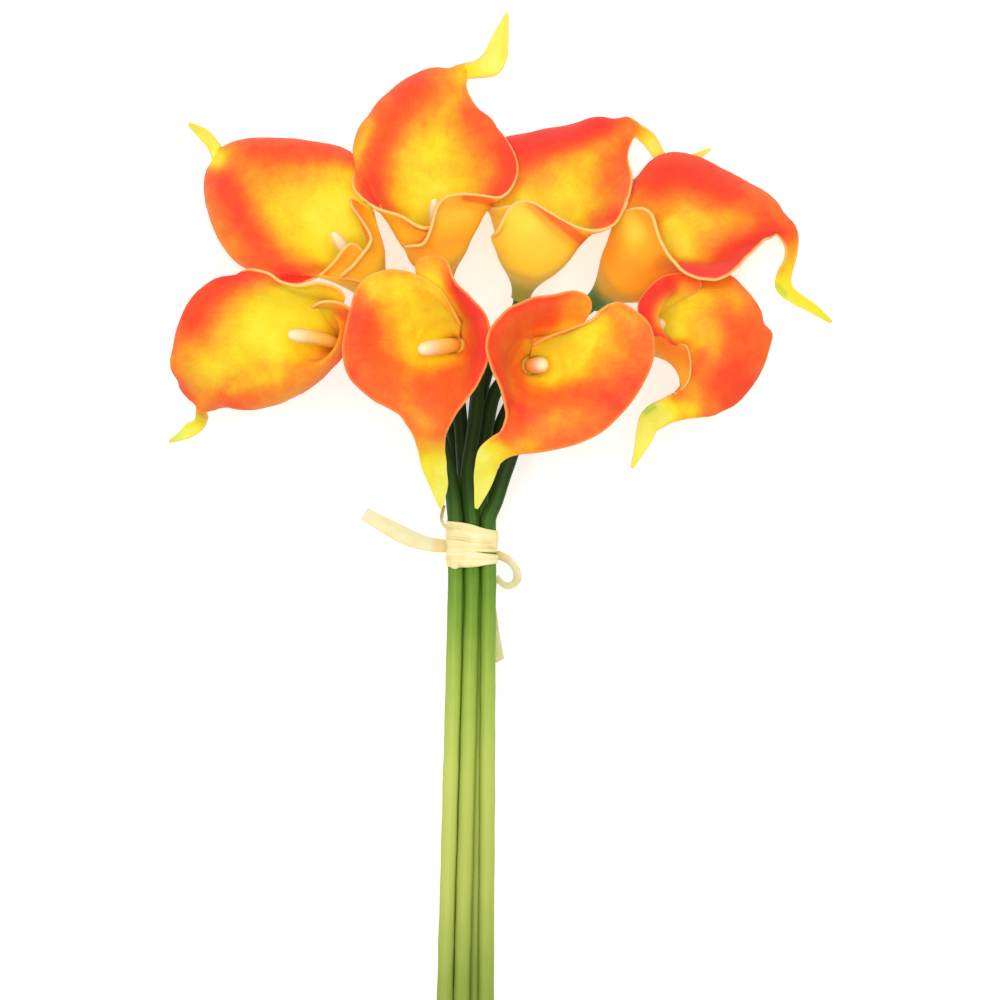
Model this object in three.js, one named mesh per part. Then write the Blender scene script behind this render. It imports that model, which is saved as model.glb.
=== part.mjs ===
// Tied bunch of eight calla lilies, lying on its back on a table
// Units are millimetres, +Z is up, +Y runs from the cut stem ends to the blooms.

import * as THREE from "three";

// Overall placing: landmarks are given as seen from above by a far camera, which makes
// near things look a little larger, and are spread or drawn in to their true place.
const VIEW_HEIGHT = 2600;
const VIEW_PLANE = 45;
const CENTRE_X = 0.79;
const CENTRE_Y = -8.2;
const TABLE = 0;

// Spathe: one sheet rolled about the flower's axis, its margins overlapping in front
const SHEET_THICKNESS = 1.0;
const NECK_RADIUS = 3.4;
const NECK_PITCH = 1.3;
const THROAT_PITCH = 2.3;
const THROAT_FLARE = 0.45;
const FOLD_SHARE = 0.72;
const FOLD_LIFT = 0.1;
const RIM_EASE = 6.5;
const THROAT_V = 0.4;
const FOLD_V = 0.82;
const SHEET_COLUMNS = 30;
const ROOT_COLUMNS = 2;
const TUBE_ROWS = 3;
const BOWL_ROWS = 4;
const RIM_ROWS = 2;
const TAIL_ROWS = 6;
const RIB_SAMPLES = 10;

// Spadix: the finger in the throat
const SPADIX_SIDES = 8;
const SPADIX_BEND = 0.55;
const SPADIX_PROFILE = [
  [0, 1.5],
  [0.14, 2.1],
  [0.32, 2.8],
  [0.6, 3.1],
  [0.86, 2.9],
  [0.96, 2.0],
  [1, 0.9],
];

// Stem: a round rod with a thinner peg that stands in the neck of its bloom
const STEM_SIDES = 8;
const STEM_RADIUS_CUT = 3.3;
const STEM_RADIUS_TIE = 3.05;
const STEM_RADIUS_NECK = 2.9;
const PEG_RADIUS = 1.9;
const PEG_LENGTH = 6;
const FIT_GAP = 0.3;
const STEM_STEPS = 3;
const STRAIGHT_SPANS = 6;
const TIE_X = -11.2;
const TIE_Y = -17.6;
const TIE_STEP = 9.6;
const CUT_X = -13.6;
const CUT_Y = -200;

// Raffia: a wrap round the stems, two tails and a loop of the same ribbon
const WRAP_BOTTOM = [-27, -25.6];
const WRAP_TOP = [-8.4, -12];
const WRAP_HALF_WIDTH = 10;
const WRAP_ARC_STEPS = 6;
const RIBBON_THICKNESS = 0.8;
const RIBBON_STEPS = 3;

// Blooms: neck and throat centres, throat radius, turn of each side in degrees, then rim points
// from the tail's root to the lip's end. A row of six ends with a fold point the sheet rolls over.
// Each tail row has the edge point of the outer side and then that of the inner side.
const BLOOMS = {
  upper_left: {
    neck: [-45, 75, 22],
    throat: [-57, 93.5, 39.5],
    radius: 11,
    turn: [205, 200],
    spadix: [-67, 107, 50],
    outer: [
      [-111, 140.5, 0.2, -112.2, 142.6, 4], [-108, 140.5, 0.2, -109, 143.6, 5],
      [-103, 139.5, 0.4, -105, 144.4, 8],
      [-92, 138.5, 2, -93, 145, 13], [-75, 137, 6, -76, 143.2, 18], [-62, 135, 10, -60, 141, 20],
      [-55, 131, 17, -54, 135, 22], [-58, 126, 26], [-59.5, 119, 38], [-55.5, 112, 49], [-52, 106, 56],
      [-52.5, 102, 57.5], [-57, 96, 58], [-62, 91.2, 57], [-66, 88.5, 54],
    ],
    inner: [
      [-114.5, 134.5, 0.2, -116, 134.4, 2], [-116.8, 131.8, 1, -117.8, 131.4, 5],
      [-114.5, 126, 2, -118.8, 127.6, 9],
      [-112, 116, 9, -117.4, 118, 16], [-108, 108, 18, -114.4, 108, 27], [-102, 97, 27, -108.2, 98, 35],
      [-95, 90, 34, -100, 90.5, 40], [-86, 87, 43], [-78, 87.5, 46.5], [-72, 90, 49.5], [-67, 94.5, 52],
      [-63, 100, 54], [-60, 104.5, 54],
    ],
    tail: [
      [[-113, 143, 0.2], [-116, 140, 0.2]],
      [[-117, 147.5, 5], [-119.8, 144.8, 5]],
      [[-123.8, 150.8, 9], [-124.6, 150, 9]],
    ],
  },
  top: {
    neck: [-22.5, 85, 20],
    throat: [-25.5, 102, 38.5],
    radius: 12,
    turn: [215, 195],
    spadix: [-26.3, 120.3, 50],
    outer: [
      [-14, 168.5, 8], [-13.5, 163, 9], [-9, 156, 13, -8.5, 156.9, 19], [-2, 149, 21, -0.3, 149.8, 28],
      [4, 141, 31], [6.8, 133, 37], [4.8, 125.5, 43], [0, 121, 47], [-8, 121.8, 51], [-16, 122.3, 55],
      [-22.5, 120.5, 56], [-26, 115, 59.5], [-28, 107, 61], [-31, 102.5, 60], [-35.5, 101.8, 57],
      [-39, 102.5, 53],
    ],
    inner: [
      [-15, 174, 8, -15, 174.4, 9.5], [-24, 171, 6, -25, 173.6, 10], [-33, 166, 6, -33.5, 171, 13],
      [-42, 159, 7, -43.5, 164.2, 17], [-50, 150, 13, -51.7, 154.6, 25], [-55, 142, 23, -57.5, 146, 34],
      [-56.5, 134, 35, -59, 137, 42], [-58.7, 127, 46], [-56, 121.5, 50], [-50.5, 117.3, 51.5],
      [-44, 115, 54], [-38.5, 113, 56], [-34, 110, 57], [-30, 108.7, 57], [-25, 111, 55],
    ],
    tail: [
      [[-9, 169.3, 7.5], [-10, 175.2, 8]],
      [[-2, 170.3, 7.5], [-6, 178.5, 8]],
      [[1.3, 174, 8], [-4.2, 182, 9]],
      [[2.8, 181, 10], [-1.5, 187.5, 10]],
      [[3.2, 189, 12], [1, 192, 12]],
      [[3.2, 194.4, 14], [2.4, 194.6, 14]],
    ],
  },
  upper_middle: {
    neck: [8.5, 82, 20],
    throat: [12.8, 99, 37.5],
    radius: 13,
    turn: [215, 195],
    spadix: [15.5, 110, 47],
    outer: [
      [53.5, 145.5, 12], [51.3, 141, 15], [50.8, 136, 19], [52.5, 129, 35], [51, 121, 46],
      [48, 113.5, 52], [43, 109, 54], [37, 107.8, 55], [31, 109, 55], [25, 112, 54.5], [19, 115.5, 56],
      [13, 119, 56], [8, 119.3, 57.5], [3.8, 116.5, 58.5], [1.3, 112, 58.5], [-1, 107.5, 56],
      [-4.5, 105.5, 51],
    ],
    inner: [
      [51, 152.6, 11, 50.6, 153, 12.5], [44, 151, 8, 43, 153.4, 14], [36, 149.5, 7, 36, 152.6, 15],
      [27, 146, 7, 27, 149.6, 15], [16, 143, 7, 15, 146.8, 15], [6, 141, 7, 5, 146.2, 15],
      [-3, 138, 8, -4, 143, 16], [-7, 133, 11, -9.5, 136, 20], [-9, 126, 19], [-8.5, 120.5, 29],
      [-5.5, 117.5, 39], [-1, 116.5, 46.5], [4, 117.5, 52], [9, 118, 52],
    ],
    tail: [
      [[57, 143.5, 9], [57, 149.5, 11]],
      [[59.6, 140.3, 7], [61.8, 145.3, 9]],
      [[62.6, 136.3, 5], [65, 139.6, 6]],
      [[67.2, 133, 3], [68.6, 135.8, 3]],
      [[75, 134.6, 3], [75.2, 137.4, 3]],
      [[84.2, 140, 6], [84, 140.7, 6]],
    ],
  },
  upper_right: {
    neck: [37.5, 79, 20],
    throat: [51.5, 90.5, 35],
    radius: 12,
    turn: [215, 195],
    spadix: [60, 97.5, 43],
    outer: [
      [111, 106.3, 18], [108, 105, 22], [104, 102.5, 30], [98, 96.5, 41], [92, 90.5, 51, 90, 94, 45],
      [86, 88.2, 56, 84, 93, 50], [79, 88.7, 58.5, 77, 94, 53], [73, 92, 60.5, 71.5, 95.5, 55],
      [68, 97, 61], [64.5, 103, 60.5], [62.5, 109, 60], [60.8, 114, 58.5], [57.5, 116.4, 55.5],
      [53, 116.3, 51], [49.5, 115, 46], [46.5, 112, 42.5], [44.3, 108.5, 39],
    ],
    inner: [
      [118.3, 108.5, 16], [114, 113, 12, 115.5, 114, 16], [108, 117.5, 5, 110, 120, 14],
      [99, 122, 0.2, 100.5, 126.2, 12], [89, 127, 0.2, 90.5, 131.4, 12], [80, 131, 3.5, 81, 135.4, 15],
      [72, 134, 8, 73, 139.8, 18], [64, 133, 12, 64.2, 139.2, 22], [57, 129.5, 18, 55.8, 133.8, 26],
      [52.5, 126, 24], [51.8, 120, 28], [52.5, 116, 33], [54.5, 112.5, 38], [58, 110, 43],
    ],
    tail: [
      [[114.2, 101.5, 15], [119, 103, 14]],
      [[113.8, 96, 12], [118, 96.5, 12]],
      [[111.3, 90.5, 9], [116.2, 90.5, 9]],
      [[110.6, 84.8, 8], [116.3, 86, 8]],
      [[115, 80.3, 8], [119.5, 82.5, 8]],
      [[123, 76, 9], [126, 78, 9]],
      [[132, 71, 10], [132.6, 71.7, 10]],
    ],
  },
  lower_left: {
    neck: [-57, 59, 43],
    throat: [-72.5, 66, 65],
    radius: 11.5,
    turn: [158, 240],
    spadix: [-84.5, 66.3, 76],
    outer: [
      [-121.3, 38, 43], [-125, 41.5, 44], [-127.5, 45.5, 45, -132, 45, 51],
      [-128.5, 53, 46, -132.6, 53, 54], [-126.5, 62, 49, -129.7, 63, 58], [-124, 71, 52, -127.4, 72.5, 61],
      [-120, 79, 57, -123.5, 81.5, 64], [-113, 86, 62, -116, 87.3, 68], [-106, 89.5, 68, -108, 91.3, 72],
      [-100, 92, 72], [-93, 90.3, 75], [-87, 86.6, 77], [-80, 85.6, 78], [-72, 86.6, 78],
      [-65, 84.5, 76.5], [-60.8, 81, 74],
    ],
    inner: [
      [-117.2, 35.6, 43], [-108, 37.5, 40, -107, 35, 47], [-96, 40.5, 42, -94, 36.8, 50],
      [-84, 44.5, 45, -81.5, 41, 54], [-74, 50, 49, -71.8, 47.6, 58], [-67, 56, 54, -65, 54.5, 63],
      [-61, 63, 60, -60, 62, 68], [-57.8, 69, 67], [-59.3, 75, 72.5], [-62.5, 78.4, 76.5],
      [-67, 79.4, 78.8], [-72, 79, 79.5], [-75.5, 77, 79],
    ],
    tail: [
      [[-121.2, 34.5, 41], [-117.2, 33, 40]],
      [[-121.8, 31.8, 38], [-119, 29, 37]],
      [[-125.3, 30, 35], [-123, 25.8, 34]],
      [[-128.5, 26.6, 33], [-127.5, 24.2, 33]],
      [[-132.1, 23.8, 32], [-132, 23.1, 32]],
    ],
  },
  front_left: {
    neck: [-13, 62.5, 40],
    throat: [-22, 62, 70],
    radius: 11.5,
    turn: [205, 211],
    spadix: [-32.6, 60, 75.8],
    outer: [
      [-21.8, 27, 79], [-18.5, 33.5, 82], [-14, 40, 84.5], [-9.5, 46.5, 86], [-6, 54, 84.5],
      [-4.6, 61, 83.5], [-4.3, 68, 83.5], [-6.5, 74.5, 84], [-11.5, 80.3, 85], [-18, 86.7, 83],
      [-20, 91.5, 81], [-21.8, 95.7, 79], [-26, 97.2, 77.5], [-31, 96.7, 77], [-33.5, 93.5, 76.5],
      [-33, 89, 75],
    ],
    inner: [
      [-34.5, 26.5, 77], [-37, 30.5, 78], [-40, 34.5, 79], [-45, 37.5, 80], [-50, 40, 81],
      [-55, 44, 82], [-59.3, 48.5, 83], [-61.8, 54, 84], [-62.6, 61, 85], [-61.5, 68, 86],
      [-59.5, 76, 86], [-57.5, 83, 85.5], [-53.5, 88.5, 85], [-48, 91, 84.5], [-43, 91.8, 84],
      [-38, 91, 83.5], [-33.6, 89.6, 83], [-29.8, 88, 82.5], [-25.7, 85.4, 82], [-22.1, 81.8, 81.5],
      [-18.8, 75.4, 80], [-15.5, 69.5, 78],
    ],
    tail: [
      [[-22.6, 21, 73], [-32.3, 20, 72]],
      [[-22, 14, 66], [-30.8, 13, 65]],
      [[-21.3, 6, 58], [-27.5, 5, 57]],
      [[-23.2, -2.7, 50], [-24.2, -3, 50]],
    ],
  },
  front_right: {
    neck: [10, 53.5, 38],
    throat: [15, 54, 68],
    radius: 11.5,
    turn: [213, 208],
    spadix: [17.6, 54.2, 72],
    outer: [
      [0.5, 27, 77], [2.2, 30.5, 79], [2.9, 34.5, 81], [1.5, 41, 83.5], [-0.5, 47.5, 85.5],
      [-3.3, 54, 88], [-5.3, 60.5, 90], [-4, 66.5, 90], [-1, 72, 87], [4.5, 77, 86], [13, 80.3, 84.5],
      [22, 82, 83], [29, 83.2, 81], [34.3, 81.6, 79.5], [36.2, 78.5, 78], [35.8, 75, 76], [34, 71.5, 74],
    ],
    inner: [
      [7.8, 18.6, 75], [14, 19.3, 74], [20, 20.3, 74.5], [30, 22.7, 75.5], [40, 27.3, 76.5],
      [47, 33.5, 78], [53, 40.5, 79.5], [57.5, 48, 81], [60.5, 55, 82.5], [61.3, 61, 83.5],
      [60.3, 68, 84], [58, 72, 84], [54, 75.2, 84], [48.5, 78.5, 84], [44.5, 78, 84], [41.5, 75.5, 83.5],
      [37.5, 72.7, 83], [33, 70.3, 82], [26, 67.8, 81], [18, 64.5, 79], [12.5, 61, 77],
    ],
    tail: [
      [[-3.5, 24.3, 74], [2.5, 17.2, 72]],
      [[-8, 20, 69], [-1.2, 13.7, 67]],
      [[-9.8, 12, 62], [-2.3, 10, 61]],
      [[-9.9, 5, 55], [-4.8, 4, 55]],
      [[-9.8, -3, 48], [-9, -3.3, 48]],
    ],
  },
  lower_right: {
    neck: [44, 62, 31],
    throat: [67, 67.5, 53],
    radius: 12,
    turn: [160, 212],
    spadix: [65.2, 71.6, 52],
    outer: [
      [75, 33.2, 43], [80, 33.6, 42], [85, 34.5, 39, 86, 34, 42], [91, 37.5, 36, 92, 36.6, 40],
      [98, 43, 34, 99, 42.7, 39], [103, 50, 34, 103.5, 50, 38], [106.5, 58, 35], [108.6, 66, 34],
      [105, 71, 32, 106.5, 71, 36], [102, 78, 32, 103.2, 78.5, 37], [98, 84, 34, 99, 85, 38],
      [94, 88.5, 35], [89, 90.3, 33], [84, 90, 33],
    ],
    inner: [
      [69, 42.2, 47], [73, 45, 50], [75.3, 48.5, 53], [76, 53, 56], [75.3, 58, 58], [74, 61.5, 59.5],
      [69.5, 62.3, 61.5, 70.5, 62.5, 63], [65, 63.8, 62, 66, 65, 65], [60.5, 66.3, 62.5, 63, 69, 67],
      [57, 70.5, 63, 61.5, 72, 68], [55.8, 75, 63, 61.8, 76, 68], [56.6, 80, 61, 63, 79.5, 66],
      [60, 85, 59, 66.5, 82, 62], [65, 88.7, 57, 70, 84.5, 58], [70, 90.3, 54], [75, 90.3, 51.5],
      [80, 88.2, 49.5], [82, 86.3, 48.5],
    ],
    tail: [
      [[69, 31.6, 41], [65, 40, 44]],
      [[64.5, 29.3, 38], [60, 37.6, 41]],
      [[62.3, 27.8, 36], [56.5, 33.5, 38]],
      [[60.5, 24, 35], [55, 28, 36]],
      [[57.3, 19, 35], [54.3, 21.5, 35]],
      [[53.1, 12.8, 35], [52.5, 13.3, 35]],
    ],
  },
};

// Stems: sideways and upward place at the tie, the same at the cut end, y of the cut, then
// guide points from the tie up to the neck
const STEMS = {
  upper_left: {
    tie: [-6.6, 11],
    cut: [-7.5, 3.3],
    end: -206,
    guides: [[-17, 12, 9.6], [-20.5, 34, 5.6], [-32, 57, 8]],
  },
  upper_middle: {
    tie: [0, 11],
    cut: [-0.5, 3.3],
    end: -210,
    guides: [[-10.5, 12, 10], [-8, 40, 8], [-3, 58, 7.5]],
  },
  upper_right: {
    tie: [6.6, 11],
    cut: [6.5, 3.3],
    end: -204,
    guides: [[-3.6, 12, 10], [0.8, 31, 9], [15, 56, 8]],
  },
  top: {
    tie: [-3.3, 16.7],
    cut: [-3.8, 9.5],
    end: -208,
    guides: [[-14.5, 12, 16], [-16.5, 38, 12], [-19, 62, 9]],
  },
  front_right: {
    tie: [3.3, 16.7],
    cut: [3.3, 9.5],
    end: -205,
    guides: [[-7, 12, 16.8], [-5.2, 30, 17.2], [-1.5, 44, 20]],
  },
  lower_left: {
    tie: [-6.6, 22.4],
    cut: [-8.4, 14.6],
    end: -207,
    guides: [[-20.5, 12, 23.5], [-30, 38, 27], [-42, 51, 31]],
  },
  front_left: {
    tie: [0, 22.4],
    cut: [-1.7, 16.5],
    end: -211,
    guides: [[-12.9, 9, 22.6], [-10.1, 31, 22.2], [-8.8, 48, 23.5]],
  },
  lower_right: {
    tie: [6.6, 22.4],
    cut: [8, 15],
    end: -205,
    guides: [[-1.4, 0, 22.5], [2.4, 12, 22.5], [13, 38, 21], [26, 53, 20.5]],
  },
};

// Colours: sRGB
const SPATHE_COLOUR = 0xf98a2a;
const SPADIX_COLOUR = 0xf6dca8;
const STEM_COLOUR = 0x6f8f3a;
const RAFFIA_COLOUR = 0xf0e2a0;

const group = new THREE.Group();

// Small helpers

function placed(point) {
  const spread = (VIEW_HEIGHT - point[2]) / (VIEW_HEIGHT - VIEW_PLANE);
  return [point[0] * spread - CENTRE_X, point[1] * spread - CENTRE_Y, point[2]];
}

function vec(row) {
  return new THREE.Vector3(row[0], row[1], row[2]);
}

function distance(a, b) {
  return Math.hypot(a[0] - b[0], a[1] - b[1], a[2] - b[2]);
}

function mixRows(a, b, share) {
  return a.map((value, i) => value + (b[i] - value) * share);
}

// Catmull-Rom curve through rows of numbers, place from 0 to the last row's index
function curveRow(rows, place) {
  const last = rows.length - 1;
  const i = Math.min(Math.floor(place), last - 1);
  const f = place - i;
  const p1 = rows[i];
  const p2 = rows[i + 1];
  const p0 = i > 0 ? rows[i - 1] : p1.map((value, k) => 2 * value - p2[k]);
  const p3 = i + 2 <= last ? rows[i + 2] : p2.map((value, k) => 2 * value - p1[k]);
  return p1.map((value, k) => {
    const slope = p2[k] - p0[k];
    const bend = 2 * p0[k] - 5 * value + 4 * p2[k] - p3[k];
    const twist = 3 * value - p0[k] - 3 * p2[k] + p3[k];
    return 0.5 * (2 * value + slope * f + bend * f * f + twist * f * f * f);
  });
}

// Smooth route through rows of numbers, whose slope at a row weighs its two spans by length
function routeRow(rows, place) {
  const last = rows.length - 1;
  const i = Math.min(Math.floor(place), last - 1);
  const f = place - i;
  const f2 = f * f;
  const f3 = f2 * f;
  const span = distance(rows[i], rows[i + 1]);
  const slope = (k, j) => {
    const before = rows[Math.max(k - 1, 0)];
    const after = rows[Math.min(k + 1, last)];
    return (after[j] - before[j]) / (distance(before, rows[k]) + distance(rows[k], after));
  };
  return rows[i].map((value, j) => {
    const ends = (2 * f3 - 3 * f2 + 1) * value + (3 * f2 - 2 * f3) * rows[i + 1][j];
    return ends + span * ((f3 - 2 * f2 + f) * slope(i, j) + (f3 - f2) * slope(i + 1, j));
  });
}

function hermite(start, end, leave, arrive, f) {
  const f2 = f * f;
  const f3 = f2 * f;
  return start
    .clone()
    .multiplyScalar(2 * f3 - 3 * f2 + 1)
    .addScaledVector(leave, f3 - 2 * f2 + f)
    .addScaledVector(end, 3 * f2 - 2 * f3)
    .addScaledVector(arrive, f3 - f2);
}

function addBody(name, points, faces, colour, roughness) {
  const geometry = new THREE.BufferGeometry();
  const values = new Float32Array(points.length * 3);
  points.forEach((point, i) => values.set([point.x, point.y, point.z], i * 3));
  geometry.setAttribute("position", new THREE.BufferAttribute(values, 3));
  geometry.setIndex(faces.flat());
  geometry.computeVertexNormals();
  const material = new THREE.MeshStandardMaterial({ color: colour, roughness, metalness: 0 });
  const mesh = new THREE.Mesh(geometry, material);
  mesh.name = name;
  group.add(mesh);
}

// Ribs of a spathe: angle about the axis, rim point, fold point and the rim's leaving direction

function bloomFrame(bloom) {
  const neck = vec(placed(bloom.neck));
  const throat = vec(placed(bloom.throat));
  const axis = throat.clone().sub(neck).normalize();
  const rootOuter = vec(placed(bloom.outer[0]));
  const rootInner = vec(placed(bloom.inner[0]));
  const reach = rootOuter.clone().add(rootInner).multiplyScalar(0.5).sub(throat);
  const towardTail = reach.clone().addScaledVector(axis, -reach.dot(axis)).normalize();
  const across = new THREE.Vector3().crossVectors(axis, towardTail);
  const third = (side) => vec(placed(side[Math.floor(side.length / 3)]));
  const hand = third(bloom.outer).sub(third(bloom.inner)).dot(across) > 0 ? 1 : -1;
  return { neck, throat, axis, towardTail, across: across.multiplyScalar(hand), hand, radius: bloom.radius };
}

function outward(frame, degrees) {
  const angle = (degrees * Math.PI) / 180;
  return frame.towardTail
    .clone()
    .multiplyScalar(Math.cos(angle))
    .addScaledVector(frame.across, Math.sin(angle));
}

function neckAt(frame, degrees) {
  const radius = NECK_RADIUS + (NECK_PITCH * degrees) / 360;
  return frame.neck.clone().addScaledVector(outward(frame, degrees), radius);
}

function throatAt(frame, degrees) {
  const radius = frame.radius + (THROAT_PITCH * degrees) / 360;
  return frame.throat.clone().addScaledVector(outward(frame, degrees), radius);
}

function sideRibs(bloom, frame, key, sign, turn, tailEdge) {
  const rims = bloom[key].map((row) => placed(row.slice(0, 3)));
  const folds = bloom[key].map((row) => (row.length > 3 ? placed(row.slice(3)) : null));
  const lengths = [distance(placed(bloom.outer[0]), placed(bloom.inner[0])) / 2];
  for (let i = 1; i < rims.length; i += 1) {
    lengths.push(lengths[i - 1] + distance(rims[i - 1], rims[i]));
  }
  return rims.map((row, i) => {
    const degrees = (sign * turn * lengths[i]) / lengths[lengths.length - 1];
    const rim = vec(row);
    const throat = throatAt(frame, degrees);
    const span = rim.clone().sub(throat);
    const eased = throat
      .clone()
      .addScaledVector(span, FOLD_SHARE)
      .addScaledVector(frame.axis, FOLD_LIFT * span.length());
    const fold = folds[i] ? vec(folds[i]) : eased;
    const leave = rim.clone().sub(fold);
    if (i === 0) {
      const size = leave.length();
      leave.copy(vec(placed(tailEdge)).sub(rim).normalize().multiplyScalar(size));
    }
    return [degrees, ...rim.toArray(), ...fold.toArray(), ...leave.toArray()];
  });
}

// The rim goes through its landmarks; everything behind it is eased along the rim
function easedRibs(ribs) {
  const count = (ribs.length - 1) * RIB_SAMPLES + 1;
  const rims = [];
  const rest = [];
  for (let i = 0; i < count; i += 1) {
    const place = i / RIB_SAMPLES;
    const k = Math.min(Math.floor(place), ribs.length - 2);
    const row = mixRows(ribs[k], ribs[k + 1], place - k);
    rims.push(curveRow(ribs, place).slice(1, 4));
    rest.push([row[0], ...row.slice(4)]);
  }
  const along = [0];
  for (let i = 1; i < count; i += 1) {
    along.push(along[i - 1] + distance(rims[i - 1], rims[i]));
  }
  const reflect = (edge, row) => edge.map((value, k) => 2 * value - row[k]);
  const end = count - 1;
  const places = [];
  const rows = [];
  for (let i = end; i > 0; i -= 1) {
    places.push(-along[i]);
    rows.push(reflect(rest[0], rest[i]));
  }
  places.push(...along);
  rows.push(...rest);
  for (let i = end - 1; i >= 0; i -= 1) {
    places.push(2 * along[end] - along[i]);
    rows.push(reflect(rest[end], rest[i]));
  }
  const last = places.length - 1;
  const mass = places.map((place, i) => {
    const before = places[Math.max(i - 1, 0)];
    const after = places[Math.min(i + 1, last)];
    return (after - before) / (i === 0 || i === last ? 1 : 2);
  });
  return rims.map((rim, i) => {
    let total = 0;
    const sum = new Array(7).fill(0);
    places.forEach((place, j) => {
      const offset = (place - along[i]) / RIM_EASE;
      if (Math.abs(offset) < 5) {
        const weight = Math.exp(-0.5 * offset * offset) * mass[j];
        total += weight;
        rows[j].forEach((value, k) => {
          sum[k] += weight * value;
        });
      }
    });
    const mean = sum.map((value) => value / total);
    return [mean[0], ...rim, ...mean.slice(1)];
  });
}

function spathePoint(frame, ribs, place, v) {
  const x = place * RIB_SAMPLES;
  const i = Math.min(Math.floor(x), ribs.length - 2);
  const rib = mixRows(ribs[i], ribs[i + 1], x - i);
  const degrees = rib[0];
  const rim = vec(rib.slice(1, 4));
  const fold = vec(rib.slice(4, 7));
  const leave = vec(rib.slice(7, 10));
  const neck = neckAt(frame, degrees);
  const throat = throatAt(frame, degrees);
  const tube = throat.distanceTo(neck);
  const flare = frame.axis.clone().addScaledVector(outward(frame, degrees), THROAT_FLARE).normalize();
  if (v <= THROAT_V) {
    const start = frame.axis.clone().multiplyScalar(tube);
    const end = flare.clone().multiplyScalar(0.9 * tube);
    return hermite(neck, throat, start, end, v / THROAT_V);
  }
  const bowl = fold.clone().sub(throat);
  const lip = rim.clone().sub(fold);
  const over = bowl.clone().normalize().add(lip.clone().normalize()).normalize();
  if (v <= FOLD_V) {
    const start = flare.multiplyScalar(bowl.length());
    const end = over.multiplyScalar(bowl.length());
    return hermite(throat, fold, start, end, (v - THROAT_V) / (FOLD_V - THROAT_V));
  }
  const start = over.multiplyScalar(lip.length());
  return hermite(fold, rim, start, leave, (v - FOLD_V) / (1 - FOLD_V));
}

// Column places, evenly spaced along the rim, with columns on both ribs of the tail's root
function columnPlaces(ribs, rootPlace, lastPlace) {
  const run = (from, to, count) => {
    const samples = 200;
    const places = [];
    const along = [0];
    let before = null;
    for (let i = 0; i < samples; i += 1) {
      const place = from + ((to - from) * i) / (samples - 1);
      const x = place * RIB_SAMPLES;
      const k = Math.min(Math.floor(x), ribs.length - 2);
      const row = mixRows(ribs[k], ribs[k + 1], x - k);
      if (before) {
        const rimStep = distance(row.slice(1, 4), before.slice(1, 4));
        const foldStep = distance(row.slice(4, 7), before.slice(4, 7));
        along.push(along[i - 1] + rimStep + 0.5 * foldStep);
      }
      places.push(place);
      before = row;
    }
    const result = [];
    let k = 0;
    for (let i = 0; i <= count; i += 1) {
      const target = (along[samples - 1] * i) / count;
      while (k < samples - 2 && along[k + 1] < target) {
        k += 1;
      }
      const share = (target - along[k]) / (along[k + 1] - along[k]);
      result.push(places[k] + (places[k + 1] - places[k]) * share);
    }
    return { places: result, length: along[samples - 1] };
  };
  const outerLength = run(0, rootPlace, 1).length;
  const innerLength = run(rootPlace + 1, lastPlace, 1).length;
  const sides = SHEET_COLUMNS - ROOT_COLUMNS;
  const outerCount = Math.round((sides * outerLength) / (outerLength + innerLength));
  const root = [];
  for (let i = 0; i <= ROOT_COLUMNS; i += 1) {
    root.push(rootPlace + i / ROOT_COLUMNS);
  }
  const outer = run(0, rootPlace, outerCount).places.slice(0, -1);
  const inner = run(rootPlace + 1, lastPlace, sides - outerCount).places.slice(1);
  return { places: [...outer, ...root, ...inner], rootColumn: outerCount };
}

function rowValues() {
  const values = [];
  for (let i = 0; i < TUBE_ROWS; i += 1) {
    values.push((THROAT_V * i) / TUBE_ROWS);
  }
  for (let i = 0; i < BOWL_ROWS; i += 1) {
    values.push(THROAT_V + ((FOLD_V - THROAT_V) * i) / BOWL_ROWS);
  }
  for (let i = 0; i <= RIM_ROWS; i += 1) {
    values.push(FOLD_V + ((1 - FOLD_V) * i) / RIM_ROWS);
  }
  return values;
}

// A thin solid from a sheet: both faces share one way of splitting into triangles
function addShell(name, points, faces, thickness) {
  const normals = points.map(() => new THREE.Vector3());
  const edges = new Map();
  faces.forEach(([a, b, c]) => {
    const normal = points[b].clone().sub(points[a]).cross(points[c].clone().sub(points[a]));
    [a, b, c].forEach((i) => normals[i].add(normal));
    [[a, b], [b, c], [c, a]].forEach(([i, j]) => {
      const back = `${j},${i}`;
      if (edges.has(back)) {
        edges.delete(back);
      } else {
        edges.set(`${i},${j}`, [i, j]);
      }
    });
  });
  const count = points.length;
  const front = [];
  const rear = [];
  points.forEach((point, i) => {
    const offset = normals[i].normalize().multiplyScalar(thickness / 2);
    const a = point.clone().add(offset);
    const b = point.clone().sub(offset);
    const rise = Math.max(0, TABLE - Math.min(a.z, b.z));
    a.z += rise;
    b.z += rise;
    front.push(a);
    rear.push(b);
  });
  const solid = faces.map((face) => face.slice());
  faces.forEach(([a, b, c]) => solid.push([c + count, b + count, a + count]));
  edges.forEach(([i, j]) => {
    solid.push([j, i, i + count]);
    solid.push([j, i + count, j + count]);
  });
  addBody(name, [...front, ...rear], solid, SPATHE_COLOUR, 0.55);
}

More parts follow.
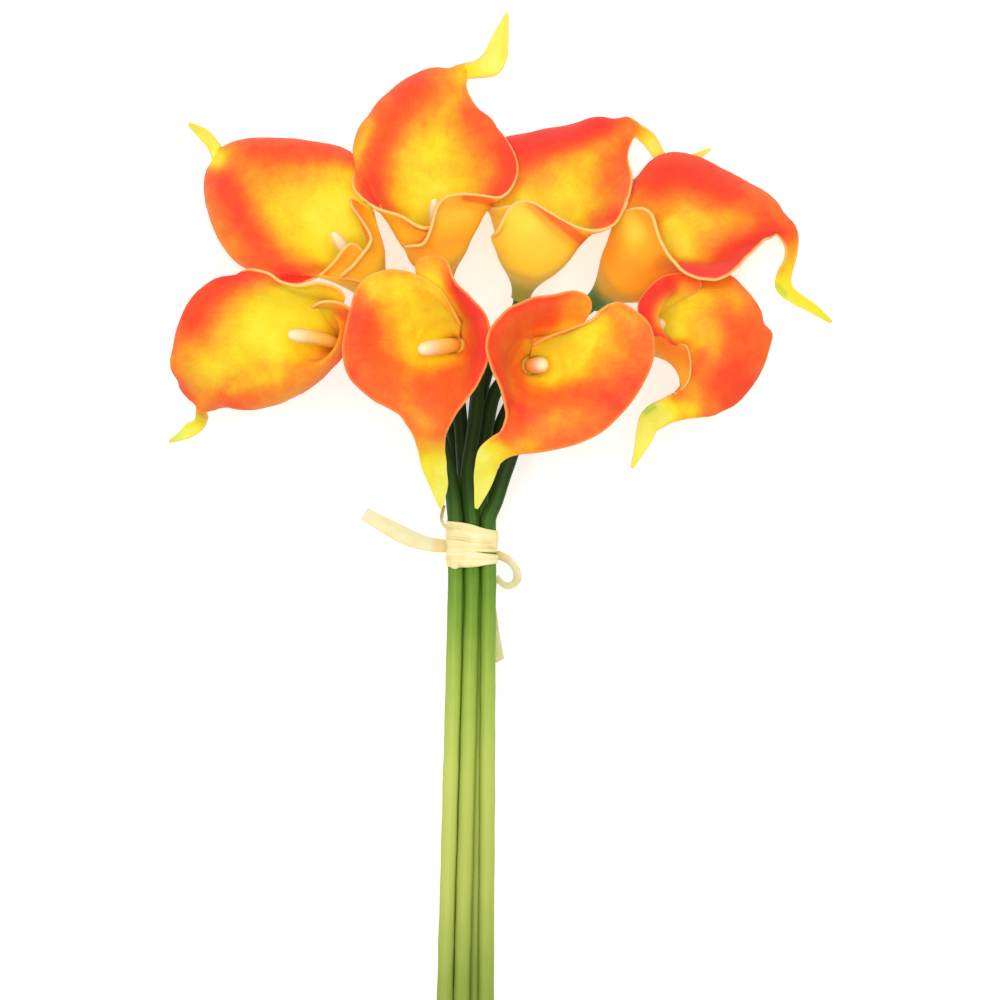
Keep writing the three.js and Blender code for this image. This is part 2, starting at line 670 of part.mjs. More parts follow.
function addSpathe(name, bloom) {
  const frame = bloomFrame(bloom);
  const outerRibs = sideRibs(bloom, frame, "outer", 1, bloom.turn[0], bloom.tail[0][0]);
  const innerRibs = sideRibs(bloom, frame, "inner", -1, bloom.turn[1], bloom.tail[0][1]);
  const ribs = easedRibs([...outerRibs.reverse(), ...innerRibs]);
  const rootPlace = bloom.outer.length - 1;
  const lastPlace = bloom.outer.length + bloom.inner.length - 1;
  const { places, rootColumn } = columnPlaces(ribs, rootPlace, lastPlace);
  const values = rowValues();
  const grid = places.map((place) => values.map((v) => spathePoint(frame, ribs, place, v)));
  const points = grid.flat();
  const rows = values.length;
  const faces = [];
  const addQuad = (a, b, c, d) => {
    if (frame.hand > 0) {
      faces.push([a, b, c], [a, c, d]);
    } else {
      faces.push([c, b, a], [d, c, a]);
    }
  };
  for (let i = 0; i + 1 < places.length; i += 1) {
    for (let j = 0; j + 1 < rows; j += 1) {
      addQuad(i * rows + j, (i + 1) * rows + j, (i + 1) * rows + j + 1, i * rows + j + 1);
    }
  }
  const rails = [0, 1].map((edge) => {
    const root = placed(edge === 0 ? bloom.outer[0] : bloom.inner[0]);
    return [root, ...bloom.tail.map((row) => placed(row[edge]))];
  });
  const rootRow = [];
  for (let c = 0; c <= ROOT_COLUMNS; c += 1) {
    rootRow.push((rootColumn + c) * rows + rows - 1);
  }
  let before = rootRow;
  for (let k = 1; k <= TAIL_ROWS; k += 1) {
    const place = (bloom.tail.length * k) / TAIL_ROWS;
    const outerEdge = curveRow(rails[0], place);
    const innerEdge = curveRow(rails[1], place);
    const row = [];
    for (let c = 0; c <= ROOT_COLUMNS; c += 1) {
      row.push(points.length);
      points.push(vec(mixRows(outerEdge, innerEdge, c / ROOT_COLUMNS)));
    }
    for (let c = 0; c < ROOT_COLUMNS; c += 1) {
      addQuad(before[c], before[c + 1], row[c + 1], row[c]);
    }
    before = row;
  }
  addShell(`spathe_${name}`, points, faces, SHEET_THICKNESS);
}

// Round rod along a line of centres, its rings turned as little as possible
function addRod(name, centres, radii, sides, colour, roughness) {
  const last = centres.length - 1;
  const points = [];
  const faces = [];
  let side = new THREE.Vector3(0, 0, -1);
  centres.forEach((centre, i) => {
    const ahead = centres[Math.min(i + 1, last)];
    const behind = centres[Math.max(i - 1, 0)];
    const along = ahead.clone().sub(behind).normalize();
    side = side.clone().addScaledVector(along, -side.dot(along)).normalize();
    const other = new THREE.Vector3().crossVectors(along, side);
    for (let k = 0; k < sides; k += 1) {
      const angle = (2 * Math.PI * k) / sides;
      points.push(
        centre
          .clone()
          .addScaledVector(side, radii[i] * Math.cos(angle))
          .addScaledVector(other, radii[i] * Math.sin(angle)),
      );
    }
  });
  for (let i = 0; i < last; i += 1) {
    for (let k = 0; k < sides; k += 1) {
      const a = i * sides + k;
      const b = i * sides + ((k + 1) % sides);
      faces.push([a, b, b + sides], [a, b + sides, a + sides]);
    }
  }
  for (let k = 1; k + 1 < sides; k += 1) {
    faces.push([0, k + 1, k]);
    faces.push([last * sides, last * sides + k, last * sides + k + 1]);
  }
  addBody(name, points, faces, colour, roughness);
}

function addStem(name, stem, bloom) {
  const frame = bloomFrame(bloom);
  const tieX = TIE_X + stem.tie[0];
  const cutX = CUT_X + stem.cut[0];
  const rows = [[cutX, stem.end, stem.cut[1], STEM_RADIUS_CUT]];
  [0.02, 0.45].forEach((share) => {
    const y = CUT_Y + (TIE_Y - 2 * TIE_STEP - CUT_Y) * share;
    const x = cutX + (tieX - cutX) * share;
    const z = stem.cut[1] + (stem.tie[1] - stem.cut[1]) * share;
    rows.push([x, y, z, STEM_RADIUS_CUT + (STEM_RADIUS_TIE - STEM_RADIUS_CUT) * share]);
  });
  [-2, -1, 0, 1].forEach((step) => {
    rows.push([tieX, TIE_Y + TIE_STEP * step, stem.tie[1], STEM_RADIUS_TIE]);
  });
  stem.guides.forEach((guide) => rows.push([...guide, STEM_RADIUS_NECK]));
  const route = rows.map((row) => [...placed(row), row[3]]);
  const onAxis = (offset, radius) => {
    const centre = frame.neck.clone().addScaledVector(frame.axis, offset);
    return [...centre.toArray(), radius];
  };
  route.push(onAxis(-9, STEM_RADIUS_NECK));
  route.push(onAxis(-2 * FIT_GAP, STEM_RADIUS_NECK));
  const places = [];
  for (let i = 0; i + 1 < route.length; i += 1) {
    const steps = i < STRAIGHT_SPANS ? 1 : STEM_STEPS;
    for (let k = 0; k < steps; k += 1) {
      places.push(i + k / steps);
    }
  }
  places.push(route.length - 1);
  const centres = [];
  const radii = [];
  places.forEach((place) => {
    const row = routeRow(route, place);
    row[2] = Math.max(row[2], TABLE + row[3]);
    centres.push(vec(row));
    radii.push(row[3]);
  });
  [[-FIT_GAP, PEG_RADIUS], [PEG_LENGTH, PEG_RADIUS]].forEach(([offset, radius]) => {
    centres.push(vec(onAxis(offset, radius)));
    radii.push(radius);
  });
  addRod(`stem_${name}`, centres, radii, STEM_SIDES, STEM_COLOUR, 0.5);
}

function addSpadix(name, bloom) {
  const frame = bloomFrame(bloom);
  const start = frame.neck.clone().addScaledVector(frame.axis, PEG_LENGTH + FIT_GAP);
  const tip = vec(placed(bloom.spadix));
  const bend = start.clone().addScaledVector(frame.axis, SPADIX_BEND * start.distanceTo(tip));
  const centres = SPADIX_PROFILE.map(([share]) =>
    start.clone().lerp(bend, share).lerp(bend.clone().lerp(tip, share), share),
  );
  const radii = SPADIX_PROFILE.map(([, radius]) => radius);
  addRod(`spadix_${name}`, centres, radii, SPADIX_SIDES, SPADIX_COLOUR, 0.7);
}

// Outline round the tied stems, offset outwards by a margin
function bundleOutline(margin) {
  const half = 6.6;
  const low = 11;
  const high = 22.4;
  const reach = STEM_RADIUS_TIE + margin;
  const corners = [[half, low, -90], [half, high, 0], [-half, high, 90], [-half, low, 180]];
  const outline = [];
  corners.forEach(([x, z, start]) => {
    for (let i = 0; i <= WRAP_ARC_STEPS; i += 1) {
      const angle = ((start + (90 * i) / WRAP_ARC_STEPS) * Math.PI) / 180;
      outline.push([x + reach * Math.cos(angle), z + reach * Math.sin(angle)]);
    }
  });
  return outline;
}

// Wrap: rings from the lower to the upper edge with the outer margin at each, then back inside.
// Each ring gives its y at the left and right sides, since the turns slant.
function addWrap() {
  const stations = [
    [...WRAP_BOTTOM, 0.95], [-23, -22, 1.1], [-18, -17.5, 1.15], [-13, -14.5, 1.1], [...WRAP_TOP, 0.95],
    [...WRAP_TOP, FIT_GAP], [...WRAP_BOTTOM, FIT_GAP],
  ];
  const rings = stations.map(([left, right, margin]) =>
    bundleOutline(margin).map(([x, z]) => {
      const share = (x + WRAP_HALF_WIDTH) / (2 * WRAP_HALF_WIDTH);
      return vec(placed([TIE_X + x, left + (right - left) * share, z]));
    }),
  );
  const size = rings[0].length;
  const faces = [];
  rings.forEach((ring, i) => {
    const next = (i + 1) % rings.length;
    for (let k = 0; k < size; k += 1) {
      const after = (k + 1) % size;
      const a = i * size + k;
      const b = i * size + after;
      const c = next * size + after;
      const d = next * size + k;
      faces.push([a, d, c], [a, c, b]);
    }
  });
  addBody("raffia_wrap", rings.flat(), faces, RAFFIA_COLOUR, 0.8);
}

// Ribbon: rows of edge point and opposite edge point, swept with a flat section
function addRibbon(name, edgeRows) {
  const left = edgeRows.map((row) => placed(row[0]));
  const right = edgeRows.map((row) => placed(row[1]));
  const points = [];
  const faces = [];
  const count = (edgeRows.length - 1) * RIBBON_STEPS;
  const at = (rows, i) => vec(curveRow(rows, Math.min(Math.max(i, 0), count) / RIBBON_STEPS));
  for (let i = 0; i <= count; i += 1) {
    const a = at(left, i);
    const b = at(right, i);
    const ahead = at(left, i + 1).add(at(right, i + 1));
    const behind = at(left, i - 1).add(at(right, i - 1));
    const normal = b.clone().sub(a).cross(ahead.sub(behind)).normalize();
    const offset = normal.multiplyScalar(RIBBON_THICKNESS / 2);
    points.push(a.clone().add(offset), b.clone().add(offset), b.clone().sub(offset), a.clone().sub(offset));
  }
  for (let i = 0; i < count; i += 1) {
    for (let k = 0; k < 4; k += 1) {
      const a = i * 4 + k;
      const b = i * 4 + ((k + 1) % 4);
      faces.push([a, b, b + 4], [a, b + 4, a + 4]);
    }
  }
  const end = count * 4;
  faces.push([0, 3, 2], [0, 2, 1], [end, end + 1, end + 2], [end, end + 2, end + 3]);
  addBody(name, points, faces, RAFFIA_COLOUR, 0.8);
}

Object.keys(BLOOMS).forEach((name) => {
  addSpathe(name, BLOOMS[name]);
  addSpadix(name, BLOOMS[name]);
  addStem(name, STEMS[name], BLOOMS[name]);
});

addWrap();

addRibbon("raffia_tail_left", [
  [[-22.8, -19.9, 17], [-22.6, -15.4, 19]],
  [[-29, -20.2, 15], [-28.6, -14.7, 16]],
  [[-37, -18.2, 12], [-36, -11.6, 13]],
  [[-46, -13.6, 9], [-44.6, -7.5, 9.5]],
  [[-55.4, -7.6, 6.5], [-52.7, -3.3, 7]],
]);

addRibbon("raffia_loop_right", [
  [[0, -24.2, 15.5], [0.2, -20.6, 17]],
  [[2.8, -25.4, 14], [4, -22.8, 15.5]],
  [[4.9, -27.8, 12.5], [7.4, -26.8, 14]],
  [[5.3, -30.6, 11], [8.3, -31.2, 12.5]],
  [[4.3, -32.6, 9], [6.4, -34.4, 10.5]],
  [[2, -32.8, 6.6], [2.6, -35.4, 7.6]],
  [[-0.9, -30, 5], [-1.4, -33, 5.4]],
]);

addRibbon("raffia_tail_lower", [
  [[-11, -20.5, 6.2], [-7.2, -19.9, 6.2]],
  [[-8.6, -30, 5.2], [-4.7, -29.6, 5.4]],
  [[-6, -42, 3], [-2.1, -41.5, 3.8]],
  [[-4, -54, 2], [-0.3, -53.4, 2.6]],
  [[-1.9, -65.1, 1.6], [1.6, -63.4, 2]],
]);

addRibbon("raffia_loop_left", [
  [[-21.9, -2.4, 9], [-22.8, -1.8, 9.6]],
  [[-22.6, -5, 11], [-23.7, -5.1, 11.6]],
  [[-22.9, -7.6, 13], [-24, -8, 13.6]],
  [[-22.5, -9.6, 14.6], [-23.2, -10.5, 15.2]],
]);

export default group;
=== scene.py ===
"""Looks of a tied bunch of eight calla lilies, built round its solid part.

The bunch lies on its back on a table, seen from straight above. Landmarks are in millimetres,
as seen by the far camera, with the height above the table as their third number.
"""

import math

import bpy
import numpy as np
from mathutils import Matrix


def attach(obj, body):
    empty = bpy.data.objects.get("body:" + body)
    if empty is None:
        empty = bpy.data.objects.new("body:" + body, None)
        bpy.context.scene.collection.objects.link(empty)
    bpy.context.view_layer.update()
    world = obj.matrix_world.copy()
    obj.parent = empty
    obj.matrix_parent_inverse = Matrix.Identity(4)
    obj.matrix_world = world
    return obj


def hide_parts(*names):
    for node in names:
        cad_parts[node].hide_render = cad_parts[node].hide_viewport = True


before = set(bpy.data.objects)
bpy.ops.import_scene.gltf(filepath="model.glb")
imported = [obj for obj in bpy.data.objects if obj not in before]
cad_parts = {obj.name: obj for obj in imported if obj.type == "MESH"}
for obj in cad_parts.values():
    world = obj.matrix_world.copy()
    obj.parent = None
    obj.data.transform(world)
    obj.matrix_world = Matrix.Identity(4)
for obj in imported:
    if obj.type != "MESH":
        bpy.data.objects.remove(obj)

bl_info = {
    "name": "Calla Lily Bunch",
    "version": (1, 0, 0),
    "blender": (4, 5, 0),
    "location": "View3D > Sidebar > Callas",
    "description": "Builds a tied bunch of soft foam calla lilies and the table it lies on",
    "category": "Add Mesh",
}

MM = 0.001

# Overall placing, as in the part's source: landmarks are spread or drawn in to their true place
VIEW_HEIGHT = 2600
VIEW_PLANE = 45
CENTRE_X = 0.79
CENTRE_Y = -8.2
PHOTO_WIDTH = 400

# Spathe: one sheet rolled about the flower's axis
NECK_RADIUS = 3.4
NECK_PITCH = 1.3
THROAT_PITCH = 2.3
THROAT_FLARE = 0.45
FOLD_SHARE = 0.72
FOLD_LIFT = 0.1
THROAT_PULL = 0.9
RIM_EASE = 6.5
THROAT_V = 0.4
FOLD_V = 0.82
RIB_SAMPLES = 10

# Spadix: share of the length and radius, then its fineness and the grain's size
SPADIX_BEND = 0.55
SPADIX_PROFILE = [
    (0, 1.5), (0.14, 2.1), (0.32, 2.8), (0.6, 3.15), (0.8, 3.1), (0.9, 2.75), (0.96, 2.05),
    (0.99, 1.1), (1, 0.2),
]
SPADIX_SIDES = 48
SPADIX_RINGS = 96
GRAIN_SIZE = 0.9

# Stem: radii, peg, tie and cut end as in the part's source
STEM_RADIUS_CUT = 3.3
STEM_RADIUS_TIE = 3.05
STEM_RADIUS_NECK = 2.9
PEG_RADIUS = 1.9
PEG_LENGTH = 6
FIT_GAP = 0.3
NECK_RUN = 9
TIE_X = -11.2
TIE_Y = -17.6
TIE_STEP = 9.6
CUT_X = -13.6
CUT_Y = -200

# Fineness of the stems, their slight swelling, and how many grooves of each weight run round them
STEM_STEPS = 14
STEM_SIDES = 28
SWELL_SPAN = 18
SWELL = 0.09
GROOVES = [(5, 1), (9, 0.6)]
GROOVE_START = 6

# Bevel of a cut end: share of the first step, and what is taken off the radius there
CUT_BEVEL = [(0, 0.35), (0.03, 0.1)]

# Mesh fineness of the spathes, the rounding of their lip ends and the hollow of their tails
SHEET_COLUMNS = 216
COLUMN_SAMPLES = 400
FOLD_WEIGHT = 0.5
ROOT_COLUMNS = 14
TUBE_ROWS = 24
BOWL_ROWS = 34
LIP_ROWS = 19
TAIL_ROWS = 40
TAIL_CHANNEL = 0.1
CHANNEL_START = 0.35
LIP_REACH = 7
LIP_DROP = 0.2

# Thickness of the foam at climbs from neck 0 to rim 1 and on to the tip 2; None is the rim's own
THICKNESS_CLIMBS = [0, THROAT_V, FOLD_V, 1, 1.4, 2]
THICKNESSES = [0.6, 1.0, 1.1, None, None, 0.8]

# Soft hollows, frills near the rim and veins: span and height, and the climbs they start over
HOLLOW_SPAN = 13
HOLLOW_HEIGHT = 0.2
FRILL_SPAN = 9
FRILL_HEIGHT = 0.16
FRILL_REACH = 5
FRILL_START = (0.7, 1)
VEIN_GAP = 1.9
VEIN_LENGTH = 22
RELIEF_START = (0.2, 0.6)
RELIEF_END = (1.6, 2)
CREASE_START = 0.42

# Yellow 0 to red 1 of the sheet's inside, at climbs from neck 0 to rim 1 and on to the tip 2
TONE_CLIMBS = [0, 0.25, 0.42, 0.55, 0.7, 0.85, 0.95, 1, 1.2, 1.45, 1.8, 2]
TONE_VALUES = [0.3, 0.2, 0.19, 0.25, 0.39, 0.55, 0.62, 0.62, 0.42, 0.1, 0.0, 0.0]
TONE_FLOOR = 0.15
TONE_FLOOR_END = (1, 1.25)

# How far the tubes of three blooms draw in behind their throats
PINCHES = {"front_left": 0.34, "front_right": 0.3, "lower_left": 0.15}

# Girth of each spadix against its profile
GIRTHS = {"upper_left": 0.8, "top": 0.82, "lower_left": 0.88}

# Radius of the foam collars that close the throats of the two front blooms, and their place and
# width as shares of the spadix's length
COLLARS = {"front_left": 4.5, "front_right": 4.9}
COLLAR_PLACE = 0.2
COLLAR_WIDTH = 0.03

# How much deeper green each stem is than the yellowest one
STEM_SHADES = {
    "upper_left": 0.3, "upper_middle": 0.3, "upper_right": 0.3, "top": 0.3,
    "lower_left": 0, "front_left": 0.2, "front_right": 0.3, "lower_right": 0.2,
}

# Turns of raffia: upper and lower edge at each eighth of a turn from the right over the front,
# then how far the turn stands off the stems and its seed
TURNS = [
    (
        (-16.4, -16, -15.8, -14.6, -14.2, -14.4, -15.2, -16),
        (-20.8, -20.7, -20.6, -21.4, -21.8, -21.6, -21, -20.6),
        0.16, 2,
    ),
    (
        (-12.8, -12.2, -9.9, -8.8, -8.6, -8.9, -10.2, -12),
        (-17.4, -17.2, -16.9, -15.8, -15.3, -15.6, -16.4, -17.2),
        0.5, 1,
    ),
    (
        (-21.8, -21.7, -20.8, -20.9, -21.4, -21.3, -21, -21.4),
        (-24.6, -25.4, -27, -26.6, -25.2, -25.4, -26, -25),
        0.42, 3,
    ),
]

# Turns: fineness, sway along the stems, lengthwise folds, how high the middle and folds stand, and the
# edges' painted shade
TURN_STEPS = 160
TURN_STRANDS = 25
TURN_SWAY = 0.12
TURN_FOLDS = 11
TURN_DRIFT = 0.7
TURN_CROWN = 0.24
TURN_FOLD_HEIGHT = 0.09
TURN_EDGE_SHADE = 2

# Loose raffia: fineness, cupping, creases and curl as shares of its width; seeds count on from
# those of the turns, and each seed shifts the fibres across
LOOSE_STRANDS = 9
LOOSE_STEPS = 12
LOOSE_CUP = 0.1
CUP_MIDDLE = 0.6
CREASE_HEIGHT = 0.02
CREASE_COUNT = 23
CURL_HEIGHT = 0.06
CURL_LENGTH = 3.1
KNOT_STEPS = 8
KNOT_CUP = 0.12
KNOT_SEED = 3
LOOSE_SEED = 4
FIBRE_SHIFT = 7.3

# Search for the outline of the tied stems
SEARCH_REACH = 40.0
SEARCH_STEPS = 30

# Stage, in metres, and the camera's sensor in mm
TABLE_HALF = 5
TABLE_DROP = 0.0002
LAMP_WIDTH = 2
LAMP_PLACE = (-0.08, 0.3, 2.5)
CAMERA_REACH = 50
SENSOR_WIDTH = 36

# Blooms: neck and throat centres, throat radius, turn of each side in degrees and the spadix's
# tip, then rim points from the tail's root to the lip's end. A row of six ends with a fold point
# that the sheet rolls over. Each tail row has the edge point of the outer side and then that of
# the inner side.
BLOOMS = {
    "upper_left": {
        "neck": [-45, 75, 22],
        "throat": [-57, 93.5, 39.5],
        "radius": 11,
        "turn": [205, 200],
        "spadix": [-67, 107, 50],
        "outer": [
            [-111, 140.5, 0.2, -112.2, 142.6, 4], [-108, 140.5, 0.2, -109, 143.6, 5],
            [-103, 139.5, 0.4, -105, 144.4, 8], [-92, 138.5, 2, -93, 145, 13],
            [-75, 137, 6, -76, 143.2, 18], [-62, 135, 10, -60, 141, 20], [-55, 131, 17, -54, 135, 22],
            [-58, 126, 26], [-59.5, 119, 38], [-55.5, 112, 49], [-52, 106, 56], [-52.5, 102, 57.5],
            [-57, 96, 58], [-62, 91.2, 57], [-66, 88.5, 54],
        ],
        "inner": [
            [-114.5, 134.5, 0.2, -116, 134.4, 2], [-116.8, 131.8, 1, -117.8, 131.4, 5],
            [-114.5, 126, 2, -118.8, 127.6, 9], [-112, 116, 9, -117.4, 118, 16],
            [-108, 108, 18, -114.4, 108, 27], [-102, 97, 27, -108.2, 98, 35],
            [-95, 90, 34, -100, 90.5, 40], [-86, 87, 43], [-78, 87.5, 46.5], [-72, 90, 49.5],
            [-67, 94.5, 52], [-63, 100, 54], [-60, 104.5, 54],
        ],
        "tail": [
            [[-113, 143, 0.2], [-116, 140, 0.2]],
            [[-117, 147.5, 5], [-119.8, 144.8, 5]],
            [[-123.8, 150.8, 9], [-124.6, 150, 9]],
        ],
    },
    "top": {
        "neck": [-22.5, 85, 20],
        "throat": [-25.5, 102, 38.5],
        "radius": 12,
        "turn": [215, 195],
        "spadix": [-26.3, 120.3, 50],
        "outer": [
            [-14, 168.5, 8], [-13.5, 163, 9], [-9, 156, 13, -8.5, 156.9, 19],
            [-2, 149, 21, -0.3, 149.8, 28], [4, 141, 31], [6.8, 133, 37], [4.8, 125.5, 43],
            [0, 121, 47], [-8, 121.8, 51], [-16, 122.3, 55], [-22.5, 120.5, 56], [-26, 115, 59.5],
            [-28, 107, 61], [-31, 102.5, 60], [-35.5, 101.8, 57], [-39, 102.5, 53],
        ],
        "inner": [
            [-15, 174, 8, -15, 174.4, 9.5], [-24, 171, 6, -25, 173.6, 10],
            [-33, 166, 6, -33.5, 171, 13], [-42, 159, 7, -43.5, 164.2, 17],
            [-50, 150, 13, -51.7, 154.6, 25], [-55, 142, 23, -57.5, 146, 34],
            [-56.5, 134, 35, -59, 137, 42], [-58.7, 127, 46], [-56, 121.5, 50], [-50.5, 117.3, 51.5],
            [-44, 115, 54], [-38.5, 113, 56], [-34, 110, 57], [-30, 108.7, 57], [-25, 111, 55],
        ],
        "tail": [
            [[-9, 169.3, 7.5], [-10, 175.2, 8]],
            [[-2, 170.3, 7.5], [-6, 178.5, 8]],
            [[1.3, 174, 8], [-4.2, 182, 9]],
            [[2.8, 181, 10], [-1.5, 187.5, 10]],
            [[3.2, 189, 12], [1, 192, 12]],
            [[3.2, 194.4, 14], [2.4, 194.6, 14]],
        ],
    },
    "upper_middle": {
        "neck": [8.5, 82, 20],
        "throat": [12.8, 99, 37.5],
        "radius": 13,
        "turn": [215, 195],
        "spadix": [15.5, 110, 47],
        "outer": [
            [53.5, 145.5, 12], [51.3, 141, 15], [50.8, 136, 19], [52.5, 129, 35], [51, 121, 46],
            [48, 113.5, 52], [43, 109, 54], [37, 107.8, 55], [31, 109, 55], [25, 112, 54.5],
            [19, 115.5, 56], [13, 119, 56], [8, 119.3, 57.5], [3.8, 116.5, 58.5], [1.3, 112, 58.5],
            [-1, 107.5, 56], [-4.5, 105.5, 51],
        ],
        "inner": [
            [51, 152.6, 11, 50.6, 153, 12.5], [44, 151, 8, 43, 153.4, 14],
            [36, 149.5, 7, 36, 152.6, 15], [27, 146, 7, 27, 149.6, 15], [16, 143, 7, 15, 146.8, 15],
            [6, 141, 7, 5, 146.2, 15], [-3, 138, 8, -4, 143, 16], [-7, 133, 11, -9.5, 136, 20],
            [-9, 126, 19], [-8.5, 120.5, 29], [-5.5, 117.5, 39], [-1, 116.5, 46.5], [4, 117.5, 52],
            [9, 118, 52],
        ],
        "tail": [
            [[57, 143.5, 9], [57, 149.5, 11]],
            [[59.6, 140.3, 7], [61.8, 145.3, 9]],
            [[62.6, 136.3, 5], [65, 139.6, 6]],
            [[67.2, 133, 3], [68.6, 135.8, 3]],
            [[75, 134.6, 3], [75.2, 137.4, 3]],
            [[84.2, 140, 6], [84, 140.7, 6]],
        ],
    },
    "upper_right": {
        "neck": [37.5, 79, 20],
        "throat": [51.5, 90.5, 35],
        "radius": 12,
        "turn": [215, 195],
        "spadix": [60, 97.5, 43],
        "outer": [
            [111, 106.3, 18], [108, 105, 22], [104, 102.5, 30], [98, 96.5, 41],
            [92, 90.5, 51, 90, 94, 45], [86, 88.2, 56, 84, 93, 50], [79, 88.7, 58.5, 77, 94, 53],
            [73, 92, 60.5, 71.5, 95.5, 55], [68, 97, 61], [64.5, 103, 60.5], [62.5, 109, 60],
            [60.8, 114, 58.5], [57.5, 116.4, 55.5], [53, 116.3, 51], [49.5, 115, 46], [46.5, 112, 42.5],
            [44.3, 108.5, 39],
        ],
        "inner": [
            [118.3, 108.5, 16], [114, 113, 12, 115.5, 114, 16], [108, 117.5, 5, 110, 120, 14],
            [99, 122, 0.2, 100.5, 126.2, 12], [89, 127, 0.2, 90.5, 131.4, 12],
            [80, 131, 3.5, 81, 135.4, 15], [72, 134, 8, 73, 139.8, 18], [64, 133, 12, 64.2, 139.2, 22],
            [57, 129.5, 18, 55.8, 133.8, 26], [52.5, 126, 24], [51.8, 120, 28], [52.5, 116, 33],
            [54.5, 112.5, 38], [58, 110, 43],
        ],
        "tail": [
            [[114.2, 101.5, 15], [119, 103, 14]],
            [[113.8, 96, 12], [118, 96.5, 12]],
            [[111.3, 90.5, 9], [116.2, 90.5, 9]],
            [[110.6, 84.8, 8], [116.3, 86, 8]],
            [[115, 80.3, 8], [119.5, 82.5, 8]],
            [[123, 76, 9], [126, 78, 9]],
            [[132, 71, 10], [132.6, 71.7, 10]],
        ],
    },
    "lower_left": {
        "neck": [-57, 59, 43],
        "throat": [-72.5, 66, 65],
        "radius": 11.5,
        "turn": [158, 240],
        "spadix": [-84.5, 66.3, 76],
        "outer": [
            [-121.3, 38, 43], [-125, 41.5, 44], [-127.5, 45.5, 45, -132, 45, 51],
            [-128.5, 53, 46, -132.6, 53, 54], [-126.5, 62, 49, -129.7, 63, 58],
            [-124, 71, 52, -127.4, 72.5, 61], [-120, 79, 57, -123.5, 81.5, 64],
            [-113, 86, 62, -116, 87.3, 68], [-106, 89.5, 68, -108, 91.3, 72], [-100, 92, 72],
            [-93, 90.3, 75], [-87, 86.6, 77], [-80, 85.6, 78], [-72, 86.6, 78], [-65, 84.5, 76.5],
            [-60.8, 81, 74],
        ],
        "inner": [
            [-117.2, 35.6, 43], [-108, 37.5, 40, -107, 35, 47], [-96, 40.5, 42, -94, 36.8, 50],
            [-84, 44.5, 45, -81.5, 41, 54], [-74, 50, 49, -71.8, 47.6, 58],
            [-67, 56, 54, -65, 54.5, 63], [-61, 63, 60, -60, 62, 68], [-57.8, 69, 67],
            [-59.3, 75, 72.5], [-62.5, 78.4, 76.5], [-67, 79.4, 78.8], [-72, 79, 79.5], [-75.5, 77, 79],
        ],
        "tail": [
            [[-121.2, 34.5, 41], [-117.2, 33, 40]],
            [[-121.8, 31.8, 38], [-119, 29, 37]],
            [[-125.3, 30, 35], [-123, 25.8, 34]],
            [[-128.5, 26.6, 33], [-127.5, 24.2, 33]],
            [[-132.1, 23.8, 32], [-132, 23.1, 32]],
        ],
    },
    "front_left": {
        "neck": [-13, 62.5, 40],
        "throat": [-22, 62, 70],
        "radius": 11.5,
        "turn": [205, 211],
        "spadix": [-32.6, 60, 75.8],
        "outer": [
            [-21.8, 27, 79], [-18.5, 33.5, 82], [-14, 40, 84.5], [-9.5, 46.5, 86], [-6, 54, 84.5],
            [-4.6, 61, 83.5], [-4.3, 68, 83.5], [-6.5, 74.5, 84], [-11.5, 80.3, 85], [-18, 86.7, 83],
            [-20, 91.5, 81], [-21.8, 95.7, 79], [-26, 97.2, 77.5], [-31, 96.7, 77], [-33.5, 93.5, 76.5],
            [-33, 89, 75],
        ],
        "inner": [
            [-34.5, 26.5, 77], [-37, 30.5, 78], [-40, 34.5, 79], [-45, 37.5, 80], [-50, 40, 81],
            [-55, 44, 82], [-59.3, 48.5, 83], [-61.8, 54, 84], [-62.6, 61, 85], [-61.5, 68, 86],
            [-59.5, 76, 86], [-57.5, 83, 85.5], [-53.5, 88.5, 85], [-48, 91, 84.5], [-43, 91.8, 84],
            [-38, 91, 83.5], [-33.6, 89.6, 83], [-29.8, 88, 82.5], [-25.7, 85.4, 82],
            [-22.1, 81.8, 81.5], [-18.8, 75.4, 80], [-15.5, 69.5, 78],
        ],
        "tail": [
            [[-22.6, 21, 73], [-32.3, 20, 72]],
            [[-22, 14, 66], [-30.8, 13, 65]],
            [[-21.3, 6, 58], [-27.5, 5, 57]],
            [[-23.2, -2.7, 50], [-24.2, -3, 50]],
        ],
    },
    "front_right": {
        "neck": [10, 53.5, 38],
        "throat": [15, 54, 68],
        "radius": 11.5,
        "turn": [213, 208],
        "spadix": [17.6, 54.2, 72],
        "outer": [
            [0.5, 27, 77], [2.2, 30.5, 79], [2.9, 34.5, 81], [1.5, 41, 83.5], [-0.5, 47.5, 85.5],
            [-3.3, 54, 88], [-5.3, 60.5, 90], [-4, 66.5, 90], [-1, 72, 87], [4.5, 77, 86],
            [13, 80.3, 84.5], [22, 82, 83], [29, 83.2, 81], [34.3, 81.6, 79.5], [36.2, 78.5, 78],
            [35.8, 75, 76], [34, 71.5, 74],
        ],
        "inner": [
            [7.8, 18.6, 75], [14, 19.3, 74], [20, 20.3, 74.5], [30, 22.7, 75.5], [40, 27.3, 76.5],
            [47, 33.5, 78], [53, 40.5, 79.5], [57.5, 48, 81], [60.5, 55, 82.5], [61.3, 61, 83.5],
            [60.3, 68, 84], [58, 72, 84], [54, 75.2, 84], [48.5, 78.5, 84], [44.5, 78, 84],
            [41.5, 75.5, 83.5], [37.5, 72.7, 83], [33, 70.3, 82], [26, 67.8, 81], [18, 64.5, 79],
            [12.5, 61, 77],
        ],
        "tail": [
            [[-3.5, 24.3, 74], [2.5, 17.2, 72]],
            [[-8, 20, 69], [-1.2, 13.7, 67]],
            [[-9.8, 12, 62], [-2.3, 10, 61]],
            [[-9.9, 5, 55], [-4.8, 4, 55]],
            [[-9.8, -3, 48], [-9, -3.3, 48]],
